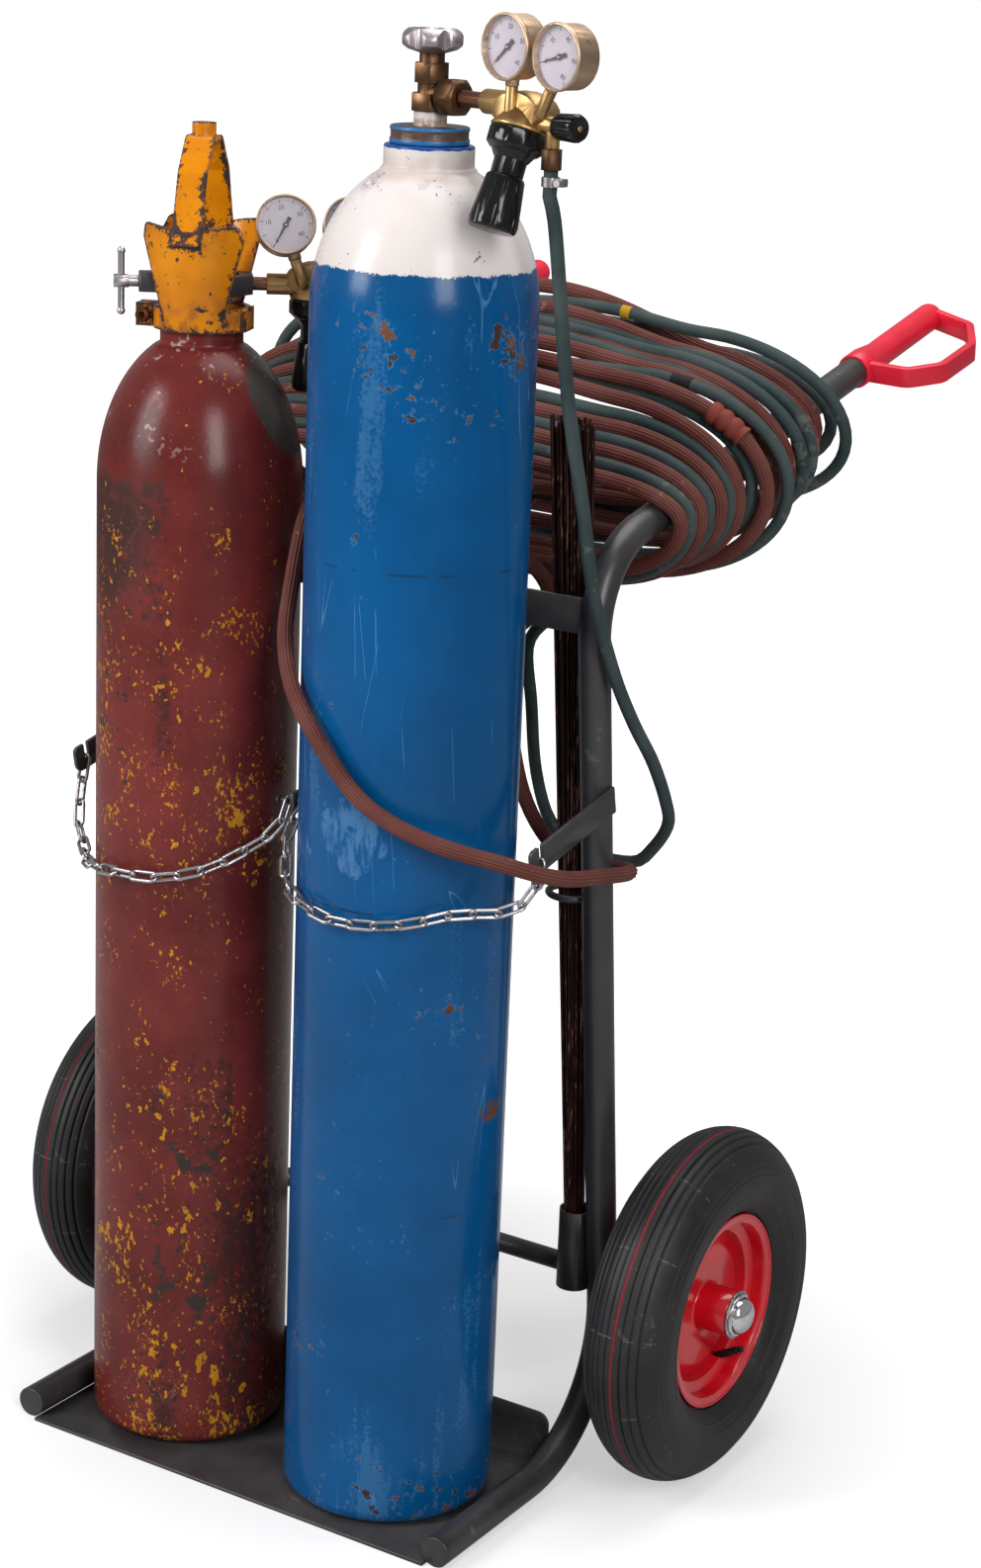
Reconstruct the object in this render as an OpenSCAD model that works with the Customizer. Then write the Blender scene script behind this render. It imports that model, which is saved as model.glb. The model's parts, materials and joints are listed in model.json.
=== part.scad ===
// Two-cylinder gas trolley: bent tube frame on two pneumatic wheels, an oxygen and an acetylene
// cylinder held by chains, their valves and regulators, filler rods, and twin hoses wound on the handles.
// Millimetres, +Z up, +Y to the rear, +X to the right. Origin on the floor, midway between the front
// edge of the toe plate and the rear end of the grips.

/* [Frame] */
// Outside diameter of the frame tube
tube_d = 34; // [30:1:38]
// Wall of the frame tube
tube_wall = 2.5; // [2:0.5:4]
// Distance between the frame tubes, centre to centre
frame_w = 556; // [556:2:570]
// Forward lean of the uprights, degrees
upright_lean = 6.5; // [6:0.25:7]
// Height of the corner where upright and handle lines meet
corner_z = 1045; // [1040:1:1060]
// Rise of the handles above level, degrees
handle_rise = 13; // [11:0.5:15]
// Length of the handle tube from that corner
handle_len = 612; // [600:2:640]
// Centre radius of the bend at the foot
foot_bend = 150; // [130:5:160]
// Centre radius of the bend at the top
top_bend = 100; // [90:5:105]
// Front end of the base tubes, ahead of the axle
base_front = 352; // [350:1:356]

/* [Toe plate] */
// Front edge of the toe plate, ahead of the axle
plate_front = 362; // [362:1:370]
// Thickness of the toe plate
plate_t = 4; // [3:0.5:6]
// Rear face of the upturned lip, ahead of the axle
lip_y = 100; // [96:1:104]
// Height of the upturned lip
lip_h = 65; // [50:1:80]
// Corner radius of the lip
lip_r = 14; // [8:1:20]

/* [Crossbar and brackets] */
// Height of the middle of the upper crossbar
crossbar_z = 983; // [975:1:990]
// Height of the crossbar section
crossbar_h = 38; // [30:1:44]
// Thickness of the crossbar
crossbar_t = 6; // [5:0.5:8]
// Thickness of the chain brackets
bracket_t = 4.5; // [4:0.25:4.5]
// Height of the bracket bar
bracket_h = 30; // [26:1:34]
// Width of the chain slot
slot_w = 7; // [6.5:0.5:8]

/* [Wheels] */
// Diameter of the tyre
tyre_d = 400; // [390:2:410]
// Width of the tyre
tyre_w = 100; // [90:2:106]
// Distance between the wheel centres
track = 772; // [768:2:800]
// Flange diameter of the rim
rim_d = 220; // [212:2:228]
// Outside diameter of the wheel hub
hub_d = 52; // [50:1:58]
// Length of the wheel hub
hub_len = 94; // [88:2:98]
// Diameter of the axle between the wheels
axle_d = 22; // [21:0.5:25]
// Diameter of the axle ends that carry the bearings
journal_d = 20; // [18:0.5:20]
// Outside diameter of the wheel bearings
bearing_d = 42; // [38:1:44]
// Width of the wheel bearings
bearing_w = 12; // [10:1:14]

/* [Oxygen cylinder] */
// Outside diameter of the oxygen cylinder
oxygen_d = 229; // [220:1:232]
// Height at which the oxygen cylinder's shoulder starts
oxygen_body_h = 1296; // [1286:2:1300]
// Rise of the oxygen cylinder's shoulder
oxygen_dome_h = 145; // [138:1:148]
// Wall of the cylinders
cylinder_wall = 7; // [5:0.5:9]
// Offset of the oxygen cylinder to the right
oxygen_x = 131; // [128:1:134]

/* [Acetylene cylinder] */
// Outside diameter of the acetylene cylinder
acetylene_d = 218; // [214:1:219]
// Height at which the acetylene cylinder's shoulder starts
acetylene_body_h = 1081; // [1071:1:1086]
// Rise of the acetylene cylinder's shoulder
acetylene_dome_h = 162; // [156:1:166]
// Offset of the acetylene cylinder to the left
acetylene_x = 151; // [148:1:151]
// Turn of the valve guard about the cylinder's axis, degrees
guard_turn = 22; // [18:1:26]
// Turn of the yoke and regulator about the cylinder's axis, degrees
yoke_turn = 40; // [38:1:42]

/* [Regulators] */
// Turn of the oxygen regulator about its cylinder's axis, degrees
oxygen_turn = 14; // [12:1:16]
// Diameter of the gauges
gauge_d = 63; // [58:1:64]
// Depth of the gauge cases
gauge_depth = 30; // [26:1:32]
// Widest diameter of the adjusting knobs
knob_d = 49; // [44:1:52]
// Length of the adjusting knobs
knob_len = 52; // [46:1:56]

/* [Chains] */
// Wire diameter of the chain
wire_d = 4; // [3.5:0.25:4]
// Outside length of a link
link_len = 35; // [34:0.5:36]
// Outside width of a link
link_w = 15; // [15:0.5:16]

/* [Hoses] */
// Outside diameter of the hoses
hose_d = 14; // [12:0.5:15]
// Turns of each hose on the handles
turns = 10; // [7:1:11]
// Step from one turn to the next along the handles
turn_step = 15.8; // [15.6:0.1:16.4]
// Place of the first turn along the handles
first_turn = 100; // [96:1:110]
// How far the middle turns stand away from the handle tubes
turn_swell = 66; // [40:2:70]

/* [Filler rods] */
// Diameter of the filler rods
rod_d = 3.2; // [2:0.2:4]
// Length of the filler rods
rod_len = 990; // [900:10:1000]
// Number of filler rods
rod_count = 17; // [8:1:18]

/* [Hidden] */
$fn = 72;

// Clearances: pieces that rest on each other, pieces that turn in each other, and a cutter's overshoot
seat_gap = 0.3;
weld_gap = 0.2;
running_gap = 0.05;
bend_seam = 0.02;
cut = 1;

frame_black = "#322f31";
grip_red = "#d8203a";
zinc = "#b9b6ba";
brass = "#a9854f";
knob_black = "#1b191b";

tube_r = tube_d / 2;
side_x = frame_w / 2;
axle_z = tyre_d / 2;
upright_y = -(tube_r + axle_d / 2 + weld_gap) / cos(upright_lean);
foot_y = upright_y + (axle_z - tube_r) * tan(upright_lean);
top_y = upright_y - (corner_z - axle_z) * tan(upright_lean);
foot_tangent = foot_bend * tan((90 + upright_lean) / 2);
top_turn = 90 + upright_lean - handle_rise;
top_tangent = top_bend * tan(top_turn / 2);

grip_end = handle_len + 177;
grip_bar_r = 16.5;
rear_reach = top_y + grip_end * cos(handle_rise) + grip_bar_r;
axle_y = -(rear_reach - plate_front) / 2;

// Height of the straight upright's axis line, as a place ahead of the axle
function upright_at(z) = upright_y - (z - axle_z) * tan(upright_lean);
// A point given along the handle, across the trolley and square to the handle
function handle_point(s, x, n) = [
    x,
    top_y + s * cos(handle_rise) - n * sin(handle_rise),
    corner_z + s * sin(handle_rise) + n * cos(handle_rise)
];

oxygen_r = oxygen_d / 2;
acetylene_r = acetylene_d / 2;
crossbar_front = upright_at(crossbar_z) + 2;
oxygen_y = crossbar_front - seat_gap - oxygen_r;
acetylene_y = crossbar_front - seat_gap - acetylene_r;
floor_z = plate_t;

// Chain hinge line: both ends of both chains lie on it
chain_y = -236;
chain_z = 758;

module at_axle() {
    translate([0, axle_y, 0]) children();
}

module both_sides() {
    children();
    mirror([1, 0, 0]) children();
}

module right_or_left(side) {
    mirror([side < 0 ? 1 : 0, 0, 0]) children();
}

function unit(v) = v / norm(v);

// Outline whose corners are rounded to radius r, n steps an arc
function corner_arc(a, b, c, r, n) =
    let (
        u = unit(a - b),
        v = unit(c - b),
        half = acos(u * v) / 2,
        m = b + unit(u + v) * (r / sin(half)),
        s = b + u * (r / tan(half)) - m,
        e = b + v * (r / tan(half)) - m,
        from = atan2(s.y, s.x),
        sweep = (atan2(e.y, e.x) - from + 540) % 360 - 180
    )
    [for (k = [0 : n]) m + r * [cos(from + sweep * k / n), sin(from + sweep * k / n)]];
function rounded(p, r, n = 5) = [
    for (i = [0 : len(p) - 1])
    for (q = corner_arc(p[(i + len(p) - 1) % len(p)], p[i], p[(i + 1) % len(p)], r, n)) q
];

// Band of width t along an open path whose inner corners are rounded to radius r
function softened(p, r, n = 5) = [
    p[0],
    for (i = [1 : len(p) - 2]) each corner_arc(p[i - 1], p[i], p[i + 1], r, n),
    p[len(p) - 1]
];
function band(p, t) =
    let (d = directions(p), side = [for (v = d) [-v.y, v.x] * t / 2])
    concat([for (i = [0 : len(p) - 1]) p[i] + side[i]], [for (i = [len(p) - 1 : -1 : 0]) p[i] - side[i]]);

// Smooth curve through points, k steps a span
function spline_at(a, b, c, d, t) =
    0.5 * (2 * b + (c - a) * t + (2 * a - 5 * b + 4 * c - d) * t * t + (3 * b - a - 3 * c + d) * t * t * t);
function spline(p, k) = [
    for (i = [0 : len(p) - 2])
    for (j = [0 : k - 1])
    spline_at(p[max(i - 1, 0)], p[i], p[i + 1], p[min(i + 2, len(p) - 1)], j / k),
    p[len(p) - 1]
];
function cumulative(p) = [
    for (i = 0, s = 0; i < len(p); s = i < len(p) - 1 ? s + norm(p[i + 1] - p[i]) : s, i = i + 1) s
];
function along(p, c, s) =
    let (i = max([for (k = [0 : len(c) - 2]) if (c[k] <= max(s, 0)) k]))
    p[i] + (p[i + 1] - p[i]) * (s - c[i]) / (c[i + 1] - c[i]);
function directions(p) = [
    for (i = [0 : len(p) - 1]) unit(p[min(i + 1, len(p) - 1)] - p[max(i - 1, 0)])
];
// Side vectors carried along a path without twist
function carried(t, seed) = [
    for (i = 0, n = seed; i < len(t); n = unit(n - (n * t[i]) * t[i]), i = i + 1) unit(n - (n * t[i]) * t[i])
];

// Round tube swept along points, closed at both ends
module swept(p, d, sides) {
    t = directions(p);
    n = carried(t, cross(t[0], [0.31, 0.52, 0.79]));
    last = (len(p) - 1) * sides;
    rings = [
        for (i = [0 : len(p) - 1])
        for (k = [0 : sides - 1])
        p[i] + d / 2 * (cos(360 * k / sides) * n[i] + sin(360 * k / sides) * cross(t[i], n[i]))
    ];
    wall = [
        for (i = [0 : len(p) - 2])
        for (k = [0 : sides - 1])
        let (a = i * sides + k, b = i * sides + (k + 1) % sides)
        each [[a, a + sides, b + sides], [a, b + sides, b]]
    ];
    start_cap = [for (k = [1 : sides - 2]) [0, k, k + 1]];
    end_cap = [for (k = [1 : sides - 2]) [last, last + k + 1, last + k]];
    polyhedron(rings, concat(wall, start_cap, end_cap));
}

// Bar bent in one plane: each step is a straight length, a turn in degrees and a centre radius
module bent(steps, seam = 0, i = 0) {
    if (i < len(steps)) {
        straight = steps[i][0];
        turn = steps[i][1];
        radius = sign(turn) * steps[i][2];
        start = i > 0 ? seam : 0;
        end = turn != 0 ? straight - seam : straight;
        translate([0, 0, start]) linear_extrude(end - start) children();
        translate([0, 0, straight]) {
            if (turn != 0) {
                rotate([0, 0, turn < 0 ? 180 : 0])
                translate([-abs(radius), 0, 0])
                rotate([90, 0, 0])
                rotate_extrude(angle = abs(turn))
                translate([abs(radius), 0])
                children();
            }
            translate([-radius, 0, 0])
            rotate([0, -turn, 0])
            translate([radius, 0, 0])
            bent(steps, seam, i + 1)
            children();
        }
    }
}

// Straight round bar between two points
module bar(a, b, d) {
    v = b - a;
    translate(a) rotate([0, acos(v.z / norm(v)), atan2(v.y, v.x)]) cylinder(d = d, h = norm(v));
}

// Turns a Z-built shape so that its top points to the front
module facing_front() {
    rotate([90, 0, 0]) children();
}

// Plate drawn in the Y-Z plane, centred on X = 0
module side_plate(t) {
    rotate([90, 0, 90]) linear_extrude(t, center = true) children();
}

// Frame

module frame_tube(side) {
    lengthwise = [[0, -1, 0, 0], [0, 0, 1, 0], [-1, 0, 0, 0], [0, 0, 0, 1]];
    upright_len = (corner_z - tube_r) / cos(upright_lean);
    color(frame_black)
    at_axle()
    translate([side * side_x, -base_front, tube_r])
    multmatrix(lengthwise)
    bent([
        [foot_y + base_front - foot_tangent, 90 + upright_lean, foot_bend],
        [upright_len - foot_tangent - top_tangent, -top_turn, top_bend],
        [handle_len - top_tangent, 0, 0]
    ], bend_seam)
    difference() {
        circle(d = tube_d);
        circle(d = tube_d - 2 * tube_wall);
    }
}

module frame_tube_left() {
    frame_tube(-1);
}

module frame_tube_right() {
    frame_tube(1);
}

module tube_end_caps() {
    cap_t = 3;
    spigot = 14;
    color("#3b3234")
    at_axle()
    both_sides()
    translate([side_x, -base_front, tube_r])
    facing_front() {
        cylinder(d = tube_d, h = cap_t);
        translate([0, 0, -spigot]) cylinder(d = tube_d - 2 * tube_wall - 2 * running_gap, h = spigot + cut);
    }
}

module toe_plate() {
    // The plate's top edge meets the round of the base tube at its own height
    plate_half = side_x - sqrt(tube_r * tube_r - pow(tube_r - plate_t, 2)) - weld_gap;
    lip_half = side_x - tube_r - weld_gap;
    color("#2b282a")
    at_axle()
    union() {
        translate([-plate_half, -plate_front, 0]) cube([2 * plate_half, plate_front - lip_y, plate_t]);
        translate([0, -lip_y, 0])
        facing_front()
        linear_extrude(plate_t)
        polygon(concat(
            [[-lip_half, 0], [lip_half, 0]],
            corner_arc([lip_half, 0], [lip_half, lip_h], [-lip_half, lip_h], lip_r, 6),
            corner_arc([lip_half, lip_h], [-lip_half, lip_h], [-lip_half, 0], lip_r, 6)
        ));
    }
}

// Running gear

wheel_x = track / 2;
shoulder_x = wheel_x - hub_len / 2 - 3;
washer_t = 2.4;
cap_x = wheel_x + hub_len / 2 + 2 * seat_gap + washer_t;
cap_depth = 17;
cap_r = 21;

module along_x(x) {
    translate([x, 0, axle_z]) rotate([0, 90, 0]) children();
}

module axle() {
    journal = cap_x + 9;
    color(frame_black)
    at_axle() {
        along_x(-journal) cylinder(d = journal_d, h = 2 * journal);
        along_x(-shoulder_x) cylinder(d = axle_d, h = 2 * shoulder_x);
    }
}

module washer(d) {
    difference() {
        cylinder(d = d, h = washer_t);
        translate([0, 0, -cut]) cylinder(d = journal_d + 0.6, h = washer_t + 2 * cut);
    }
}

module axle_washers() {
    color(zinc)
    at_axle()
    both_sides() {
        along_x(shoulder_x + seat_gap) washer(hub_d - 14);
        along_x(wheel_x + hub_len / 2 + seat_gap) washer(hub_d + 2);
    }
}

module axle_caps() {
    // Push-on dome with a rim, gripping the axle's end
    steps = 8;
    color(zinc)
    at_axle()
    both_sides()
    along_x(cap_x)
    difference() {
        rotate_extrude()
        polygon(concat(
            [[0, 0], [cap_r + 3, 0], [cap_r + 3, 2.5], [cap_r, 3]],
            [for (k = [0 : steps]) [cap_r * cos(90 * k / steps), 3 + (cap_depth - 3) * sin(90 * k / steps)]]
        ));
        translate([0, 0, -cut]) cylinder(d = journal_d + 2 * running_gap, h = 9 + cut + seat_gap);
    }
}

module wheel(side) {
    at_axle() right_or_left(side) along_x(wheel_x) children();
}

bead_r = rim_d / 2 - 8.5;
bead_half = 28;
lip_half_w = 34;

module tyre(side) {
    crown = tyre_d / 2;
    half = tyre_w / 2;
    middle = crown - half;
    wall = 8;
    inside = half - wall;
    // Round outside, open to the rim inside, with round grooves in the tread
    color("#282527")
    wheel(side)
    rotate_extrude()
    difference() {
        polygon(concat(
            [[bead_r + seat_gap, -bead_half + 1]],
            [for (k = [0 : 36]) let (a = -52 + 284 * k / 36) [middle + half * sin(a), -half * cos(a)]],
            [[bead_r + seat_gap, bead_half - 1], [bead_r + seat_gap, bead_half - 9]],
            [for (a = [220 : -20 : -40]) [middle + inside * sin(a), -inside * cos(a)]],
            [[bead_r + seat_gap, -bead_half + 9]]
        ));
        for (x = [-24, -14, -5, 5, 14, 24])
            translate([middle + sqrt(half * half - x * x) - 3.5, x - 1.2]) square([9, 2.4]);
    }
}

module tyre_left() {
    tyre(-1);
}

module tyre_right() {
    tyre(1);
}

module rim(side) {
    steel = 3;
    well_r = bead_r - 12;
    flange_r = rim_d / 2;
    disc_x = 4;
    color("#c8141f")
    wheel(side)
    difference() {
        union() {
            rotate_extrude()
            polygon([
                [flange_r, -lip_half_w], [flange_r, -lip_half_w + steel], [bead_r, -bead_half],
                [bead_r - 1, -bead_half + 14], [well_r, -bead_half + 18], [well_r, bead_half - 18],
                [bead_r - 1, bead_half - 14], [bead_r, bead_half], [flange_r, lip_half_w - steel],
                [flange_r, lip_half_w], [flange_r - steel, lip_half_w], [bead_r - steel, bead_half + steel],
                [bead_r - steel - 1, bead_half - 12], [well_r - steel, bead_half - 16],
                [well_r - steel, -bead_half + 16], [bead_r - steel - 1, -bead_half + 12],
                [bead_r - steel, -bead_half - steel], [flange_r - steel, -lip_half_w]
            ]);
            rotate_extrude()
            polygon([
                [hub_d / 2 - 1, disc_x - 6], [hub_d / 2 + 12, disc_x - 2], [well_r - 24, disc_x + 2],
                [well_r - 14, disc_x - 4], [well_r - 1, disc_x - 6], [well_r - 1, disc_x - 2],
                [well_r - 12, disc_x], [well_r - 22, disc_x + 6], [hub_d / 2 + 10, disc_x + 2],
                [hub_d / 2 - 1, disc_x - 2]
            ]);
            translate([0, 0, -hub_len / 2]) cylinder(d = hub_d, h = hub_len);
        }
        translate([0, 0, -hub_len / 2 - cut]) cylinder(d = journal_d + 4, h = hub_len + 2 * cut);
        for (end = [-1, 1])
            translate([0, 0, end * (hub_len - bearing_w - 2) / 2])
            cylinder(d = bearing_d, h = bearing_w + 2 + cut, center = true);
        translate(stem_root()) rotate([0, stem_lean, 0]) cylinder(d = stem_d + 0.6, h = 30, center = true);
    }
}

module rim_left() {
    rim(-1);
}

module rim_right() {
    rim(1);
}

// Tyre valve: a rubber stem that leaves the disc low down and leans in towards the hub
stem_d = 9;
stem_lean = -29;
function stem_root() = [78, 41, 8];

module valve_stem(side) {
    color(knob_black)
    wheel(side)
    translate(stem_root())
    rotate([0, stem_lean, 0]) {
        translate([0, 0, -6]) cylinder(d = stem_d, h = 34);
        translate([0, 0, 28]) cylinder(d = stem_d - 2, h = 6);
    }
}

module valve_stem_left() {
    valve_stem(-1);
}

module valve_stem_right() {
    valve_stem(1);
}

module wheel_bearings(side) {
    color("#8d8b8e")
    wheel(side)
    for (end = [-1, 1])
        translate([0, 0, end * (hub_len / 2 - 2 - bearing_w / 2)])
        difference() {
            cylinder(d = bearing_d - 2 * running_gap, h = bearing_w - 2 * running_gap, center = true);
            cylinder(d = journal_d + 2 * running_gap, h = bearing_w + cut, center = true);
        }
}

module wheel_bearings_left() {
    wheel_bearings(-1);
}

module wheel_bearings_right() {
    wheel_bearings(1);
}

// Crossbar, chain brackets and rod holders

module upper_crossbar() {
    half = side_x - tube_r - weld_gap;
    color(frame_black)
    at_axle()
    translate([-half, crossbar_front, crossbar_z - crossbar_h / 2])
    cube([2 * half, crossbar_t, crossbar_h]);
}

bracket_dip = 12;
bracket_rear = 92;
bracket_tip = 19;

module chain_bracket(side) {
    // Flat bar welded outside the upright, dipping to the front, with a slot open at the top
    span = (-chain_y - bracket_rear) / cos(bracket_dip);
    half = bracket_h / 2;
    color(frame_black)
    at_axle()
    right_or_left(side)
    translate([side_x + tube_r + weld_gap + bracket_t / 2, chain_y, chain_z])
    rotate([bracket_dip, 0, 0])
    side_plate(bracket_t)
    difference() {
        polygon(concat(
            [[span, half]],
            corner_arc([span, half], [-bracket_tip, half], [-bracket_tip, -half], 6, 5),
            corner_arc([-bracket_tip, half], [-bracket_tip, -half], [span, -half], 10, 5),
            [[span, -half]]
        ));
        translate([-slot_w / 2, 0]) square([slot_w, bracket_h]);
        circle(d = slot_w);
    }
}

module chain_bracket_left() {
    chain_bracket(-1);
}

module chain_bracket_right() {
    chain_bracket(1);
}

hook_x = -8;
hook_t = 5;
hook_pin_d = 5;
hook_pin_half = 22;

module centre_chain_hook() {
    // Plate under the middle of the crossbar, with a cross pin that takes the inner end of each chain
    arm = 26;
    top = crossbar_z - crossbar_h / 2;
    rear = crossbar_front + crossbar_t;
    color(frame_black)
    at_axle()
    translate([hook_x, 0, 0]) {
        side_plate(hook_t)
        polygon([
            [rear, top], [rear - arm, top], [rear - arm, chain_z + arm], [chain_y - 8, chain_z + 12],
            [chain_y - 8, chain_z - 8], [rear - arm / 2, chain_z - 8], [rear, chain_z + 8]
        ]);
        translate([0, chain_y, chain_z]) rotate([0, 90, 0]) {
            cylinder(d = hook_pin_d, h = 2 * hook_pin_half, center = true);
            for (end = [-1, 1])
                translate([0, 0, end * hook_pin_half]) cylinder(d = 11, h = 3, center = true);
        }
    }
}

cup_d = 38;
cup_wall = 2;
cup_top = 286;
cup_low = axle_z - 8;
cup_x = side_x - tube_r - cup_d / 2 - 0.5;
cup_y = -axle_d / 2 - cup_d / 2 - seat_gap;
ring_z = 665;
ring_r = 25.8;
ring_wire = 8;
ring_x = side_x - 43;
ring_y = -62;

module rod_cup() {
    color("#262325")
    at_axle()
    translate([cup_x, cup_y, cup_low])
    difference() {
        cylinder(d = cup_d, h = cup_top - cup_low);
        translate([0, 0, cup_wall]) cylinder(d = cup_d - 2 * cup_wall, h = cup_top - cup_low);
    }
}

module rod_ring() {
    color("#262325")
    at_axle()
    translate([ring_x, ring_y, ring_z])
    rotate_extrude()
    translate([ring_r, 0])
    circle(d = ring_wire);
}

rod_foot = [cup_x, cup_y + 3.5, cup_low + cup_wall + seat_gap];
rod_foot_spread = 9.5;
rod_head = [228, -97];
rod_head_spread = [28, 11];
rod_stagger = 18;

module filler_rods() {
    // Sunflower cluster, tight in the cup and fanned out at the top
    color("#4a2a22")
    at_axle()
    for (i = [0 : rod_count - 1]) {
        spread = sqrt((i + 0.5) / rod_count);
        turn = i * 137.5;
        low = rod_foot + rod_foot_spread * spread * [cos(turn), sin(turn), 0];
        high = [
            rod_head.x + rod_head_spread.x * spread * cos(turn),
            rod_head.y + rod_head_spread.y * spread * sin(turn),
            rod_foot.z + rod_len - rod_stagger * (i % 3) / 3
        ];
        bar(low, high, rod_d);
    }
}

// Grips

module on_handle(side) {
    right_or_left(side)
    translate([side_x, top_y, corner_z])
    rotate([handle_rise - 90, 0, 0])
    children();
}

module grip(side) {
    // Collar, hand bar and a knuckle loop that stands out to the side
    collar_start = handle_len - 24;
    neck = handle_len + 22;
    guard_t = 9;
    guard_w = 23;
    guard_dip = 4;
    collar_r = tube_r + 3.5;
    loop = softened([
        [0, collar_start + 10], [62, collar_start + 14], [90, collar_start + 48], [92, collar_start + 126],
        [64, collar_start + 180], [0, grip_end + 4]
    ], 18);
    color(grip_red)
    at_axle()
    on_handle(side)
    difference() {
        union() {
            rotate_extrude()
            polygon([
                [0, collar_start], [collar_r - 1, collar_start], [collar_r, collar_start + 2],
                [collar_r, handle_len + 2], [grip_bar_r, neck + 10], [grip_bar_r, grip_end], [0, grip_end]
            ]);
            translate([0, 0, grip_end]) sphere(r = grip_bar_r);
            rotate([0, 0, guard_dip])
            facing_front()
            linear_extrude(guard_w, center = true)
            polygon(band(loop, guard_t));
        }
        translate([0, 0, collar_start - 30])
        cylinder(d = tube_d + 2 * running_gap, h = 30 + handle_len - collar_start + running_gap);
    }
}

module grip_left() {
    grip(-1);
}

module grip_right() {
    grip(1);
}

// Cylinders

// Half section of a gas cylinder: dished foot, straight wall, elliptical shoulder and a bored neck
function cylinder_section(r, body_h, dome_h, neck_r, neck_top, bore_r) =
    let (
        foot = 16,
        neck_a = acos(neck_r / r),
        bore_a = acos((bore_r + 6) / (r - cylinder_wall))
    )
    concat(
        [[0, 10], [r - foot - 14, 0]],
        [for (a = [0 : 15 : 90]) [r - foot + foot * sin(a), foot - foot * cos(a)]],
        [for (a = [0 : 8]) [r * cos(neck_a * a / 8), body_h + dome_h * sin(neck_a * a / 8)]],
        [[neck_r, neck_top], [bore_r, neck_top], [bore_r, body_h + dome_h - cylinder_wall]],
        [for (a = [8 : -1 : 0]) [
            (r - cylinder_wall) * cos(bore_a * a / 8),
            body_h + (dome_h - cylinder_wall) * sin(bore_a * a / 8)
        ]],
        [[r - cylinder_wall, foot + cylinder_wall], [r - foot - cylinder_wall, 2 * cylinder_wall],
         [0, 10 + 2 * cylinder_wall]]
    );

valve_bore_r = 9;
oxygen_collar_r = 45;
oxygen_collar_top = oxygen_body_h + oxygen_dome_h + 12;
oxygen_neck_r = 16.5;
ring_h = 18;
oxygen_neck_top = oxygen_collar_top + ring_h + 14;

module at_oxygen(z = 0) {
    at_axle() translate([oxygen_x, oxygen_y, floor_z + z]) children();
}

module oxygen_cylinder() {
    neck_h = oxygen_neck_top - oxygen_collar_top;
    color("#155a96")
    at_oxygen() {
        rotate_extrude()
        polygon(cylinder_section(
            oxygen_r, oxygen_body_h, oxygen_dome_h, oxygen_collar_r, oxygen_collar_top, valve_bore_r
        ));
        translate([0, 0, oxygen_collar_top - cut])
        difference() {
            cylinder(r = oxygen_neck_r, h = neck_h + cut);
            translate([0, 0, -cut]) cylinder(r = valve_bore_r, h = neck_h + 3 * cut);
        }
    }
}

module oxygen_neck_ring() {
    ring_r = 39.5;
    high = ring_h - seat_gap;
    groove_low = 5;
    groove_high = high - 4;
    color("#17649f")
    at_oxygen(oxygen_collar_top + seat_gap)
    rotate_extrude()
    polygon([
        [oxygen_neck_r + weld_gap, 0], [ring_r - 1, 0], [ring_r, 1], [ring_r, groove_low],
        [ring_r - 1, groove_low + 1], [ring_r - 1, groove_high - 1], [ring_r, groove_high],
        [ring_r, high - 1.5], [ring_r - 1.5, high], [oxygen_neck_r + weld_gap, high]
    ]);
}

outlet_z = oxygen_neck_top + 15;
gland_top = oxygen_neck_top + 55;
spindle_d = 10;

module oxygen_valve() {
    color("#7d5d3a")
    at_oxygen(oxygen_neck_top)
    difference() {
        union() {
            translate([0, 0, -20]) cylinder(r = valve_bore_r - weld_gap, h = 20 + cut);
            cylinder(d = 42, h = 17, $fn = 6);
            translate([0, 0, 16]) cylinder(d = 27, h = 12);
            translate([0, 0, 27]) cylinder(d = 37, h = 19, $fn = 6);
            translate([0, 0, 45]) cylinder(d = 25, h = 10);
            rotate([0, 0, -oxygen_turn])
            translate([0, 0, outlet_z - oxygen_neck_top])
            rotate([0, 90, 0])
            cylinder(d = 24, h = 26);
        }
        translate([0, 0, 30]) cylinder(d = spindle_d + 2 * running_gap, h = 30);
    }
}

module oxygen_handwheel() {
    wheel_r = 32;
    wheel_h = 23;
    lobes = 6;
    lobe_r = 11;
    dish_r = 22;
    color("#a9a5a8")
    at_oxygen(gland_top + seat_gap) {
        difference() {
            intersection() {
                union() {
                    cylinder(r = dish_r + 3, h = wheel_h);
                    for (k = [0 : lobes - 1])
                        rotate([0, 0, 360 * k / lobes])
                        translate([wheel_r - lobe_r, 0, 0])
                        cylinder(r = lobe_r, h = wheel_h);
                }
                rotate_extrude()
                polygon([
                    [0, 0], [wheel_r - 18, 0], [wheel_r - 8, 3], [wheel_r - 2, 7], [wheel_r, 12],
                    [wheel_r - 1, 16], [wheel_r - 4, 20], [dish_r + 2, wheel_h], [0, wheel_h]
                ]);
            }
            translate([0, 0, wheel_h - 3]) cylinder(r = dish_r, h = 3 + cut);
        }
        translate([0, 0, -18]) cylinder(d = spindle_d, h = 18 + cut);
    }
}

// Regulators, built round the middle of the body with the inlet to the left

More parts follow.
